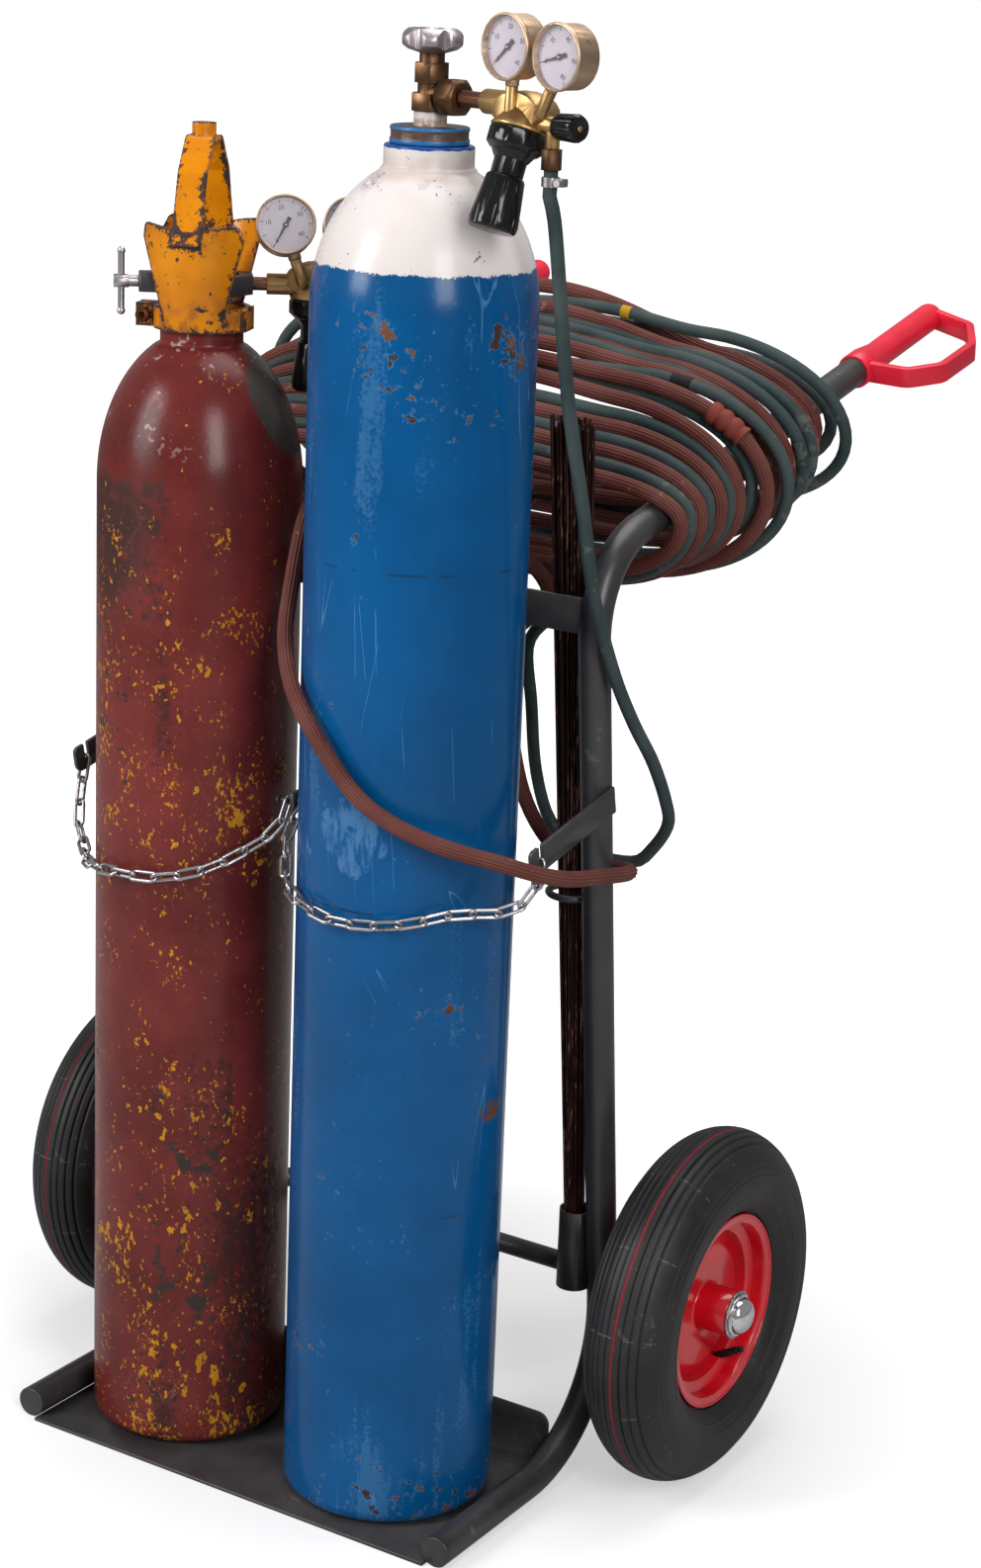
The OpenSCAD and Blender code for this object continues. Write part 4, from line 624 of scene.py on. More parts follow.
def neck_ring_paint():
    """Blue rings with a brown groove between and a dark top."""
    def build(g):
        at = g.place()
        height = g.split(at)[2]
        low, high = (corner.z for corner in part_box("oxygen_neck_ring"))
        tone = mottle(g, at, 60.0)[0]
        groove = g.product(g.rise(height, low + 0.0046, low + 0.0054),
                           g.rise(g.minus(high - 0.0036, height), 0.0, 0.0008))
        blue = g.mix(tone, (0.006, 0.085, 0.24), (0.010, 0.135, 0.33))
        shown = g.mix(groove, blue, g.mix(tone, (0.060, 0.028, 0.018), (0.10, 0.050, 0.034)))
        return (g.mix(g.rise(height, high - 0.001, high - 0.0002), shown, (0.035, 0.038, 0.048)),
                g.between(tone, 0.28, 0.48))
    return finish("Neck ring paint", build)


def lens_glass():
    def build(g):
        return {"Roughness": g.between(mottle(g, g.place(), 60.0)[0], 0.02, 0.06)}
    return finish("Lens", build, Base_Color=(0.92, 0.94, 0.96, 1.0), Alpha=0.04, Specular_IOR_Level=0.8)


# Meshes

WELD = 3e-6
FLAT = math.radians(0.6)
CREASE = math.radians(32)


@contextmanager
def editing(mesh, keep=True):
    """A mesh's editable copy, written back at the end unless it is only looked at."""
    b = bmesh.new()
    b.from_mesh(mesh)
    yield b
    if keep:
        b.to_mesh(mesh)
    b.free()


def simplify(b):
    """Merges doubled points and flat neighbouring faces."""
    bmesh.ops.remove_doubles(b, verts=b.verts, dist=WELD)
    bmesh.ops.dissolve_limit(b, angle_limit=FLAT, verts=b.verts, edges=b.edges)


def dress(mesh, material):
    mesh.materials.clear()
    mesh.materials.append(material)


def new_piece(name, verts, faces, material):
    mesh = bpy.data.meshes.new(name)
    mesh.from_pydata([tuple(v) for v in verts], [], faces)
    return new_object(name, mesh, material)


def new_object(name, mesh, material, smooth=True):
    dress(mesh, material)
    if smooth:
        mesh.shade_smooth()
    piece = bpy.data.objects.new(name, mesh)
    bpy.context.scene.collection.objects.link(piece)
    return piece


def sharpen(piece, degrees):
    piece.data.set_sharp_from_angle(angle=math.radians(degrees))
    return piece


def stand_for(piece, node, *more):
    """The piece rides on the node's body, takes its slot and stands for it."""
    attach(piece, NODES[node]["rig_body"])
    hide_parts(node, *more)
    return piece


def coat(node, material):
    """Gives a solid that stays a better finish."""
    dress(NODES[node].data, material)


def arc(middle_r, middle_z, radius, start, end, steps):
    """Points of an arc in a half section, angles in degrees from the outward direction."""
    angles = np.radians(np.linspace(start, end, steps + 1))
    return [(middle_r + radius * math.cos(a), middle_z + radius * math.sin(a)) for a in angles]


def lathe(name, profile, matrix, material, segments=128, sharp=40.0):
    """Turns a half section (radius, height) about the Z axis and places it."""
    verts, rings, faces = [], [], []
    turns = np.linspace(0, math.tau, segments, endpoint=False)
    for radius, height in profile:
        if radius < 1e-6:
            rings.append([len(verts)] * segments)
            verts.append((0.0, 0.0, height))
        else:
            rings.append(list(range(len(verts), len(verts) + segments)))
            verts.extend((radius * math.cos(t), radius * math.sin(t), height) for t in turns)
    for low, high in zip(rings, rings[1:]):
        for k in range(segments):
            corner = [low[k], low[(k + 1) % segments], high[(k + 1) % segments], high[k]]
            face = list(dict.fromkeys(corner))
            if len(face) > 2:
                faces.append(face)
    piece = new_piece(name, verts, faces, material)
    piece.data.transform(matrix)
    return sharpen(piece, sharp)


def closed_lathe(name, profile, matrix, material, segments):
    """A lathe whose half section is a closed outline away from the axis, with its faces turned outwards."""
    piece = lathe(name, [*profile, profile[0]], matrix, material, segments, 50)
    with editing(piece.data) as b:
        bmesh.ops.remove_doubles(b, verts=b.verts, dist=1e-6)
        bmesh.ops.recalc_face_normals(b, faces=b.faces)
    return piece


def settle(piece):
    """Turns a piece's modifiers into plain mesh."""
    evaluated = piece.evaluated_get(bpy.context.evaluated_depsgraph_get())
    mesh = bpy.data.meshes.new_from_object(evaluated)
    piece.modifiers.clear()
    piece.data = mesh
    return piece


def refined(node, material, bevel=0.0006, segments=2):
    """A copy of a solid with merged points and softened edges, which stands for it."""
    mesh = NODES[node].data.copy()
    with editing(mesh) as b:
        simplify(b)
    for layer in list(mesh.attributes):
        if layer.name in ("custom_normal", "sharp_face", "sharp_edge"):
            mesh.attributes.remove(layer)
    piece = new_object(node + ".dressed", mesh, material)
    soften = piece.modifiers.new("Soften", "BEVEL")
    soften.width = bevel
    soften.segments = segments
    soften.limit_method = "ANGLE"
    soften.angle_limit = CREASE
    soften.harden_normals = True
    return stand_for(sharpen(settle(piece), 60), node)


def mark_edges(piece, node, reach, grain):
    """Cuts a piece's faces fine and writes how near each point lies to a sharp edge of its solid."""
    samples = []
    with editing(NODES[node].data, keep=False) as b:
        simplify(b)
        for e in b.edges:
            if len(e.link_faces) == 2 and e.calc_face_angle() > CREASE:
                a, c = e.verts[0].co, e.verts[1].co
                steps = max(2, round(e.calc_length() / (grain / 2)))
                samples.extend(a.lerp(c, k / steps) for k in range(steps + 1))
    tree = KDTree(len(samples))
    for k, point in enumerate(samples):
        tree.insert(point, k)
    tree.balance()
    with editing(piece.data) as b:
        for _ in range(7):
            bmesh.ops.triangulate(b, faces=b.faces)
            long_edges = [e for e in b.edges if e.calc_length() > grain]
            if not long_edges:
                break
            bmesh.ops.subdivide_edges(b, edges=long_edges, cuts=1)
        bmesh.ops.triangulate(b, faces=b.faces)
    layer = piece.data.attributes.new("edge", "FLOAT", "POINT")
    for k, vertex in enumerate(piece.data.vertices):
        layer.data[k].value = max(0.0, 1 - tree.find(vertex.co)[2] / reach)


# Geometry node trees

SOCKETS = {int: "NodeSocketInt", float: "NodeSocketFloat", tuple: "NodeSocketVector",
           type(None): "NodeSocketMaterial"}


def growth(name, inputs):
    """Makes a function that gives instances a geometry tree, built once, which ends in real, dressed geometry."""
    def wrap(fill):
        def tree():
            return bpy.data.node_groups.get(name) or build()

        def build():
            made = bpy.data.node_groups.new(name, "GeometryNodeTree")
            for label, default in inputs.items():
                socket = made.interface.new_socket(name=label, in_out="INPUT", socket_type=SOCKETS[type(default)])
                if default is not None:
                    socket.default_value = default
            made.interface.new_socket(name="Geometry", in_out="OUTPUT", socket_type="NodeSocketGeometry")
            g = Graph(made)
            entry = g.add("NodeGroupInput").outputs
            spread = g.add("GeometryNodeInstanceOnPoints", fill(g, entry)).outputs[0]
            real = g.add("GeometryNodeRealizeInstances", {"Geometry": spread}).outputs[0]
            shown = g.add("GeometryNodeSetMaterial", {"Geometry": real, "Material": entry["Material"]}).outputs[0]
            g.put(g.add("NodeGroupOutput").inputs["Geometry"], shown)
            return made
        return tree
    return wrap


def grown(name, tree, material, **values):
    """A plain mesh made by a geometry tree with these input values."""
    values["Material"] = material
    piece = bpy.data.objects.new(name, bpy.data.meshes.new(name))
    bpy.context.scene.collection.objects.link(piece)
    modifier = piece.modifiers.new("Grow", "NODES")
    modifier.node_group = tree
    for item in tree.interface.items_tree:
        if item.item_type == "SOCKET" and item.in_out == "INPUT" and item.name in values:
            modifier[item.identifier] = values[item.name]
    settle(piece)
    dress(piece.data, material)
    return piece


@growth("Radial marks", {"Count": 41, "Start": 0.0, "Sweep": 1.0, "Radius": 0.02, "Length": 0.003, "Width": 0.0004,
                         "Depth": 0.0002, "Material": None})
def radial_marks(g, entry):
    """Marks spread over an arc, each a thin block that points to the middle."""
    index = g.add("GeometryNodeInputIndex").outputs[0]
    share = g.math("DIVIDE", index, g.either(g.minus(entry["Count"], 1.0), 1.0))
    turn = g.plus(entry["Start"], g.product(share, entry["Sweep"]))
    at = g.xyz(g.product(entry["Radius"], g.math("COSINE", turn)), g.product(entry["Radius"], g.math("SINE", turn)))
    points = g.add("GeometryNodePoints", {"Count": entry["Count"], "Position": at}).outputs[0]
    size = g.xyz(entry["Length"], entry["Width"], entry["Depth"])
    block = g.add("GeometryNodeMeshCube", {"Size": size}).outputs["Mesh"]
    return {"Points": points, "Instance": block, "Rotation": g.xyz(0.0, 0.0, turn)}


@growth("Rod bundle", {"Count": 17, "Foot": (0.0, 0.0, 0.0), "Head": (0.0, 0.0, 0.0), "Foot spread": 0.0095,
                       "Head spread X": 0.028, "Head spread Y": 0.011, "Stagger": 0.018, "Radius": 0.0016,
                       "Material": None})
def rod_bundle(g, entry):
    """Rods that stand in a cup and fan out at the top, in a sunflower cluster."""
    index = g.add("GeometryNodeInputIndex").outputs[0]
    share = g.math("SQRT", g.math("DIVIDE", g.plus(index, 0.5), entry["Count"]))
    turn = g.product(index, math.radians(137.5))
    across, deep = g.product(share, g.math("COSINE", turn)), g.product(share, g.math("SINE", turn))
    step = g.math("DIVIDE", g.math("MODULO", index, 3.0), 3.0)
    at_foot = g.xyz(g.product(across, entry["Foot spread"]), g.product(deep, entry["Foot spread"]), 0.0)
    at_head = g.xyz(g.product(across, entry["Head spread X"]), g.product(deep, entry["Head spread Y"]),
                    g.product(step, entry["Stagger"], -1.0))
    low = g.vector("ADD", entry["Foot"], at_foot)[0]
    high = g.vector("ADD", entry["Head"], at_head)[0]
    reach = g.vector("SUBTRACT", high, low)[0]
    points = g.add("GeometryNodePoints", {"Count": entry["Count"], "Position": low}).outputs[0]
    rod = g.add("GeometryNodeMeshCylinder", {"Vertices": 12, "Side Segments": 1, "Radius": entry["Radius"],
                                             "Depth": 1.0}).outputs["Mesh"]
    stood = g.add("GeometryNodeTransform", {"Geometry": rod, "Translation": (0, 0, 0.5)}).outputs[0]
    lean = g.add("FunctionNodeAlignRotationToVector", {"Vector": reach}, axis="Z").outputs[0]
    size = g.xyz(1.0, 1.0, g.vector("LENGTH", reach)["Value"])
    return {"Points": points, "Instance": stood, "Rotation": lean, "Scale": size}


# Hoses, from the axle's own frame

OXYGEN_OUTLET = (0.29692, -0.27176, 1.4467)
ACETYLENE_OUTLET = (-0.02997, -0.12333, 1.2477)
GREEN_POINTS = [
    (0.300, -0.264, 1.390), (0.300, -0.228, 1.230), (0.302, -0.190, 1.107), (0.303, -0.165, 1.022),
    (0.308, -0.125, 0.934), (0.314, -0.090, 0.875), (0.321, -0.055, 0.825), (0.325, -0.030, 0.778),
    (0.316, -0.005, 0.743), (0.290, 0.010, 0.707), (0.261, 0.020, 0.684), (0.200, 0.030, 0.680),
    (0.150, 0.032, 0.702), (0.128, 0.028, 0.760), (0.124, 0.018, 0.840), (0.122, 0.010, 0.910),
]
RED_POINTS = [
    (-0.031, -0.126, 1.190), (-0.028, -0.150, 1.130), (-0.018, -0.200, 1.085), (-0.013, -0.228, 1.058),
    (-0.006, -0.258, 0.990), (0.010, -0.287, 0.950), (0.049, -0.328, 0.916), (0.096, -0.354, 0.879),
    (0.149, -0.358, 0.828), (0.189, -0.348, 0.801), (0.240, -0.333, 0.783), (0.290, -0.302, 0.768),
    (0.314, -0.265, 0.752), (0.321, -0.215, 0.736), (0.320, -0.150, 0.722), (0.316, -0.095, 0.710),
    (0.300, -0.055, 0.701), (0.265, -0.035, 0.693), (0.215, -0.026, 0.690), (0.168, -0.010, 0.700),
    (0.132, -0.008, 0.750), (0.112, -0.012, 0.840), (0.106, -0.015, 0.910),
]
RISE_TO_WINDING = ((0.160, 0, -0.052), (0.140, 0, -0.018), (0.105, 0, -0.002))

# Handles that carry the winding: half their distance, the corner they rise from, their slope and radius
SIDE_X = 0.278
HANDLE_CORNER = (-0.12466, 1.045)
HANDLE_RISE = math.radians(13)
TUBE_RADIUS = 0.017

# The winding: its turns, where it starts and how far it swells out, its corners and the half share of a straight run
TURNS = 10
TURN_STEP = 0.0158
FIRST_TURN = 0.100
WINDING_LENGTH = 0.400
SWELL = 0.060
RINGS_A_TURN = 48
KNOTS_A_TURN = 4
CORNER_INSET = 0.110
HALF_RUN = 0.12
DRIFT = 0.024
RED_SEED, GREEN_SEED = 8, 29
RIB_DEPTH = 0.0012

# How far a loose turn stands off above, below and at the sides
PILE_OVER, PILE_UNDER, PILE_OUT = 0.042, 0.034, 0.045

# Repairs on the hoses: the hose, its first and last ring, the thickness, the height of its folds and its colour
SLEEVES = {
    "red_repair_wrap": ("red", 694, 698, 0.0015, 0.0028, (0.20, 0.040, 0.028)),
    "green_tape": ("green", 680, 682, 0.0008, 0.0, (0.012, 0.012, 0.013)),
    "green_yellow_band": ("green", 1196, 1197, 0.0006, 0.0, (0.42, 0.25, 0.010)),
}


def handle_point(along, across, above):
    """A point given along the handles, across the trolley and square to the handles."""
    y, z = HANDLE_CORNER
    return np.array([across, y + along * math.cos(HANDLE_RISE) - above * math.sin(HANDLE_RISE),
                     z + along * math.sin(HANDLE_RISE) + above * math.cos(HANDLE_RISE)])


def turn_point(along, phase, loose, layer, drift):
    """A place on a turn: below to the left, up round the left handle, back above, down round the right."""
    hug = TUBE_RADIUS + sizes().red_hose / 2 + 0.002
    share = min(1.0, max(0.0, (along - FIRST_TURN) / WINDING_LENGTH))
    swell = math.sin(math.pi * share ** 0.9)
    over = hug + SWELL * swell + PILE_OVER * loose * layer
    under = (hug + (SWELL + 0.012) * (1 - ((along - 0.200) / 0.330) ** 2)
             - 0.045 * max(0.0, 1 - (along - FIRST_TURN) / 0.048) + PILE_UNDER * loose * layer)
    end = CORNER_INSET + hug + 0.020 * swell + PILE_OUT * loose * layer
    straight = SIDE_X - CORNER_INSET
    crown = 0.012 + 0.030 * share ** 2
    along += drift * loose
    if HALF_RUN <= phase % 0.5 < 0.5 - HALF_RUN:
        side = -1 if phase < 0.5 else 1
        share = (phase % 0.5 - HALF_RUN) / (0.5 - 2 * HALF_RUN)
        angle = math.radians(side * (90 - 180 * share))
        rise = (under if math.sin(angle) < 0 else over) * math.sin(angle)
        return handle_point(along, side * (straight + end * math.cos(angle)), rise)
    if HALF_RUN <= phase < 1 - HALF_RUN:
        run = straight * (phase - 0.5) / HALF_RUN
        return handle_point(along, run, over + crown * (1 - (run / straight) ** 2))
    run = straight * (-phase if phase < 0.5 else 1 - phase) / HALF_RUN
    return handle_point(along, run, -under)


def winding(start, seed):
    """Loose turns round both handles; the first lie side by side and the later ones stray and pile up."""
    rings = RINGS_A_TURN * TURNS
    chance = np.random.default_rng(seed)
    knots = TURNS * KNOTS_A_TURN + 1
    stray = spline(np.stack([chance.uniform(0, 1, knots), chance.uniform(-1, 1, knots)], 1),
                   RINGS_A_TURN // KNOTS_A_TURN)
    lead = np.array([sizes().hose, 0, 0])

    def ring(i):
        turn = i / RINGS_A_TURN
        loose = min(1.0, max(0.0, (turn - 2.2) / 3.0)) * min(1.0, (TURNS - turn) / 0.6)
        layer, drift = stray[i]
        return turn_point(start + 2 * TURN_STEP * turn, turn % 1.0, loose, max(0.0, layer), DRIFT * drift)

    first, *body, last = (ring(i) for i in range(rings + 1))
    return [first, first - lead, *body, last + lead, last]


def spline(points, steps):
    """Smooth curve through points."""
    p = np.array([points[0], *points, points[-1]], float)
    out = []
    for a, b, c, d in zip(p, p[1:], p[2:], p[3:]):
        for t in np.arange(steps) / steps:
            out.append(0.5 * (2 * b + (c - a) * t + (2 * a - 5 * b + 4 * c - d) * t ** 2
                              + (3 * b - a - 3 * c + d) * t ** 3))
    return np.array([*out, p[-1]])


def path_length(path):
    return float(np.linalg.norm(np.diff(path, axis=0), axis=1).sum())


def evenly(points, step):
    """The curve again with points a step apart."""
    run = np.concatenate([[0], np.cumsum(np.linalg.norm(np.diff(points, axis=0), axis=1))])
    at = np.linspace(0, run[-1], max(2, round(run[-1] / step) + 1))
    return np.stack([np.interp(at, run, points[:, k]) for k in range(3)], axis=1)


def hose_route(outlet, points, start, seed):
    """The whole hose: out of its nut, the free stretch and the winding."""
    wound = winding(start, seed)
    first = wound[0]
    d = sizes().hose
    down, back = np.array([0, 0, -d]), np.array([d, 0, 0])
    outlet = np.array(outlet)
    free = [outlet, outlet + down, outlet + 2 * down, *[np.array(p) for p in points],
            *[first + step for step in RISE_TO_WINDING], first + 2 * back, first + back]
    route = evenly(spline([*free, *wound], 8), sizes().ring_step)
    return route + np.array([0, AXLE.y, 0])


def carried_sides(path):
    """Two vectors square to a path at each point, without twist along it."""
    ahead = np.gradient(path, axis=0)
    ahead /= np.linalg.norm(ahead, axis=1)[:, None]
    side = np.cross(ahead[0], (0.31, 0.52, 0.79))
    sides = []
    for t in ahead:
        side = side - (side @ t) * t
        side = side / np.linalg.norm(side)
        sides.append(side)
    sides = np.array(sides)
    return sides, np.cross(ahead, sides)


def swept(name, path, radii, material):
    """A closed tube along a path, with a radius for each ring and angle."""
    rings, sides = radii.shape
    angles = np.linspace(0, math.tau, sides, endpoint=False)
    n, b = carried_sides(path)
    verts = (path[:, None] + (radii * np.cos(angles))[:, :, None] * n[:, None]
             + (radii * np.sin(angles))[:, :, None] * b[:, None]).reshape(-1, 3)
    last = (rings - 1) * sides
    faces = [(i + k, i + (k + 1) % sides, i + sides + (k + 1) % sides, i + sides + k)
             for i in range(0, last, sides) for k in range(sides)]
    faces += [tuple(range(sides - 1, -1, -1)), tuple(range(last, last + sides))]
    return new_piece(name, verts, faces, material)


def hose_tube(name, path, radius, ribs, depth, material):
    """A hose with lengthwise ribs and flat ends; its points carry how deep they lie in a groove."""
    angles = np.linspace(0, math.tau, ribs * 4, endpoint=False)
    section = radius - depth * (0.5 + 0.5 * np.cos(ribs * angles))
    piece = swept(name, path, np.tile(section, (len(path), 1)), material)
    piece.data.polygons[-1].use_smooth = piece.data.polygons[-2].use_smooth = False
    groove = piece.data.attributes.new("groove", "FLOAT", "POINT")
    groove.data.foreach_set("value", np.tile((section.max() - section) / RIB_DEPTH, len(path)))
    return piece


def connector(name, path, r, material):
    """Brass end fitting on a hose: a ferrule, a round nut and a spigot."""
    out = Vector(path[-1] - path[-2]).normalized()
    turn = out.to_track_quat("Z", "Y").to_matrix().to_4x4()
    profile = [(0, 0.0003), (r - 0.0005, 0.0003), (r - 0.0002, 0.001), (r - 0.0002, 0.0085), (r - 0.001, 0.0095),
               (r - 0.001, 0.010), (r + 0.0012, 0.0105), (r + 0.0017, 0.0115), (r + 0.0017, 0.0235),
               (r + 0.0012, 0.0245), (r - 0.002, 0.025), (r - 0.002, 0.0315), (r - 0.0025, 0.032), (0, 0.032)]
    return lathe(name, profile, Matrix.Translation(Vector(path[-1])) @ turn, material, 36)


def clamp(name, at, hose_r, material):
    """Worm-drive hose clip: a band, its screw housing and screw."""
    r = hose_r + 0.0008
    low, high = at.z - 0.015, at.z - 0.006
    band = lathe(name, [(r, low), (r + 0.0011, low), (r + 0.0011, high), (r, high), (r, low)],
                 Matrix.Translation((at.x, at.y, 0)), material, 48)
    with editing(band.data) as b:
        housing = bmesh.ops.create_cube(b, size=1.0)["verts"]
        bmesh.ops.scale(b, vec=(0.008, 0.0095, 0.0075), verts=housing)
        bmesh.ops.translate(b, vec=(at.x + r + 0.0045, at.y, (low + high) / 2), verts=housing)
        screw = bmesh.ops.create_cone(b, cap_ends=True, segments=16, radius1=0.0034, radius2=0.0034,
                                      depth=0.016)["verts"]
        bmesh.ops.rotate(b, cent=(0, 0, 0), matrix=Matrix.Rotation(math.pi / 2, 3, "X"), verts=screw)
        bmesh.ops.translate(b, vec=(at.x + r + 0.0052, at.y - 0.003, (low + high) / 2), verts=screw)
    return sharpen(band, 35)


def sleeves_on(hose, path, r, rings=40, sides=28):
    """The repairs on one hose: closed sleeves over a stretch of it."""
    made = []
    for name, (on, first, last, thick, fold, rgb) in SLEEVES.items():
        if on != hose:
            continue
        stretch = evenly(path[first:last + 1], path_length(path[first:last + 1]) / (rings - 1))
        radii = r + thick + fold * np.abs(np.sin(3.6 * math.pi * np.linspace(0, 1, rings))) ** 0.7
        radii[0] = radii[-1] = r - 0.0005
        piece = swept(name, stretch, np.tile(radii[:, None], (1, sides)), hose_rubber(name, rgb, shade(rgb, 1.4)))
        sharpen(piece, 50)
        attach(piece, NODES[hose + "_hose"]["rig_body"])
        made.append(piece)
    return made


def make_hoses():
    for name, outlet, points, start, seed, d, ribs, depth, dusty in (
        ("red", ACETYLENE_OUTLET, RED_POINTS, FIRST_TURN, RED_SEED, sizes().red_hose, sizes().hose_ribs, RIB_DEPTH,
         (0.26, 0.13, 0.11)),
        ("green", OXYGEN_OUTLET, GREEN_POINTS, FIRST_TURN + TURN_STEP, GREEN_SEED, sizes().hose, 12, 0.0002,
         (0.12, 0.125, 0.12)),
    ):
        path = hose_route(outlet, points, start, seed)
        rubber = hose_rubber(name.title() + " rubber", getattr(metals(), name + "_hose"), dusty)
        hose = hose_tube(name + "_hose_run", path, d / 2, ribs, depth, rubber)
        stand_for(hose, name + "_hose", name + "_hose_winding")
        end = stand_for(connector(name + "_connector", path, d / 2, metal("brass")), "hose_connectors")
        clip = stand_for(clamp(name + "_clip", Vector(path[0]), d / 2, metal("zinc")), "hose_clamps")
        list(sleeves_on(name, path, d / 2))


# Cylinders

FOOT_RADIUS = 0.016
WALL_STEP = 0.03


def bottle(name, node, axis, body, rise, collar, fillet, top, edge, neck, material):
    """A cylinder: rounded foot, wall, elliptical shoulder, a fillet to the collar, and the collar's rounded edge.
    The fillet is its radius, its height as a share of the rise and its steps; the edge its radius and steps."""
    low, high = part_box(node)
    radius = (high.x - low.x) / 2
    wall = np.linspace(FOOT_RADIUS, body, round((body - FOOT_RADIUS) / WALL_STEP))
    bend, share, bend_steps = fillet
    lip, lip_steps = edge
    slope = np.linspace(0, math.acos((collar + bend) / radius), 40)
    profile = [(0, 0.010), (radius - FOOT_RADIUS - 0.014, 0.0),
               *arc(radius - FOOT_RADIUS, FOOT_RADIUS, FOOT_RADIUS, -90, 0, 12), *[(radius, z) for z in wall[1:-1]],
               *[(radius * math.cos(a), body + rise * math.sin(a)) for a in slope],
               *arc(collar + bend, body + rise * share + bend, bend, 250, 180, bend_steps),
               (collar, top - lip), *arc(collar - lip, top - lip, lip, 0, 90, lip_steps), *neck]
    place = Matrix.Translation((*axis, PLATE_TOP))
    stand_for(lathe(name, profile, place, material, 160), node)


def make_cylinders():
    body, rise = 1.296, 0.145
    top = body + rise + 0.012
    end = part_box("oxygen_cylinder")[1].z - PLATE_TOP
    neck = [(0.0168, top), (0.0165, top + 0.0004), (0.0165, end - 0.001), (0.0155, end), (0, end)]
    bottle("oxygen_bottle", "oxygen_cylinder", OXYGEN_AXIS, body, rise, 0.045, (0.0035, 0.925, 5), top, (0.0025, 5),
           neck, oxygen_paint())
    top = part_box("acetylene_cylinder")[1].z - PLATE_TOP
    bottle("acetylene_bottle", "acetylene_cylinder", ACETYLENE_AXIS, 1.081, 0.162, 0.0436, (0.005, 0.895, 6), top,
           (0.002, 4), [(0.009, top), (0, top)], acetylene_paint())
    refined("oxygen_neck_ring", neck_ring_paint(), 0.0008, 3)


# Wheels

TREAD_GROOVES = (-0.031, -0.0225, -0.0135, -0.0045, 0.0045, 0.0135, 0.0225, 0.031)
WALL_RINGS = (66, 74, 82, 104, 118)


def mirrored(points):
    return [(r, -z) for r, z in reversed(points)]


def tyre_section():
    """Round casing with grooves in the tread and raised rings on the side walls."""
    middle_r, half, thick = 0.150, 0.050, 0.008
    bead, bead_half = 0.1018, 0.027
    outer = []
    for a in np.arange(-52.0, 232.1, 0.9):
        turn = math.radians(a)
        across = -half * math.cos(turn)
        depth = sum(0.0020 * math.exp(-((across - groove) / 0.0010) ** 2) for groove in TREAD_GROOVES)
        ring = sum(0.0007 * math.exp(-((abs(a - 90) - at) / 1.2) ** 2) for at in WALL_RINGS)
        far = half - depth + ring
        outer.append((middle_r + far * math.sin(turn), -far * math.cos(turn)))
    inside = half - thick
    inner = [(middle_r + inside * math.sin(a), -inside * math.cos(a)) for a in np.radians(range(220, -41, -20))]
    return [(bead, -bead_half), *outer, (bead, bead_half), (bead, bead_half - thick), *inner,
            (bead, -bead_half + thick)]


def rim_section():
    """Drop-centre rim with rolled edges."""
    flange, bead, well, steel = 0.110, 0.1015, 0.0895, 0.003
    half, bead_half = 0.034, 0.028
    outer = [(flange, -half + steel / 2), (bead + 0.002, -bead_half - 0.0005), (bead, -bead_half + 0.002),
             (bead - 0.001, -bead_half + 0.014), (well, -bead_half + 0.018)]
    inner = [(bead - steel + 0.001, bead_half + steel), (bead - steel - 0.0005, bead_half),
             (bead - steel - 0.001, bead_half - 0.012), (well - steel, bead_half - 0.016)]
    lip = arc(flange - steel / 2, half - steel / 2, steel / 2, 0, 180, 8)
    return [*outer, *mirrored(outer)[:-1], *lip, *inner, *mirrored(inner), *mirrored(lip)]


def disc_section():
    """Pressed disc and hub of a wheel."""
    bore, hub, well, at, end, bend = 0.0225, 0.026, 0.0895, 0.004, 0.047, 0.0035
    return [(bore, -end), (hub - 0.001, -end), (hub, -end + 0.001), (hub, at - 0.0085),
            *arc(hub + bend, at - 0.0085, bend, 180, 90, 5), (hub + 0.012, at - 0.002), (well - 0.026, at + 0.002),
            (well - 0.021, at), (well - 0.014, at - 0.004), (well + 0.0004, at - 0.006), (well + 0.0004, at - 0.002),
            (well - 0.012, at), (well - 0.019, at + 0.0042), (well - 0.024, at + 0.006), (hub + 0.010, at + 0.002),
            *arc(hub + bend, at + 0.0065, bend, 270, 180, 5), (hub, end - 0.001), (hub - 0.001, end), (bore, end)]


def make_wheels():
    for side, name in ((-1, "left"), (1, "right")):
        place = (Matrix.Translation((side * WHEEL_X, AXLE.y, AXLE.z))
                 @ Matrix.Rotation(side * math.pi / 2, 4, "Y"))
        stand_for(closed_lathe("tyre_casing_" + name, tyre_section(), place, tyre_rubber(side), 176), "tyre_" + name)
        stand_for(closed_lathe("rim_shell_" + name, rim_section(), place, rim_paint(), 128), "rim_" + name)
        stand_for(closed_lathe("rim_disc_" + name, disc_section(), place, rim_paint(), 128), "rim_" + name)
        coat("wheel_bearings_" + name, metal("zinc"))
        refined("valve_stem_" + name, knob_plastic(), 0.0012, 3)


# Guard, valves and regulators

# Where a regulator's inlet pipe ends, from the axis of its cylinder, and where its gauges' stems start
OXYGEN_BRASS = ("Oxygen regulator", OXYGEN_AXIS, 0.080, 1.524)
ACETYLENE_BRASS = ("Acetylene regulator", ACETYLENE_AXIS, 0.067, 1.325)


def refine_all(rows):
    for node, material, bevel in rows:
        refined(node, material, bevel)


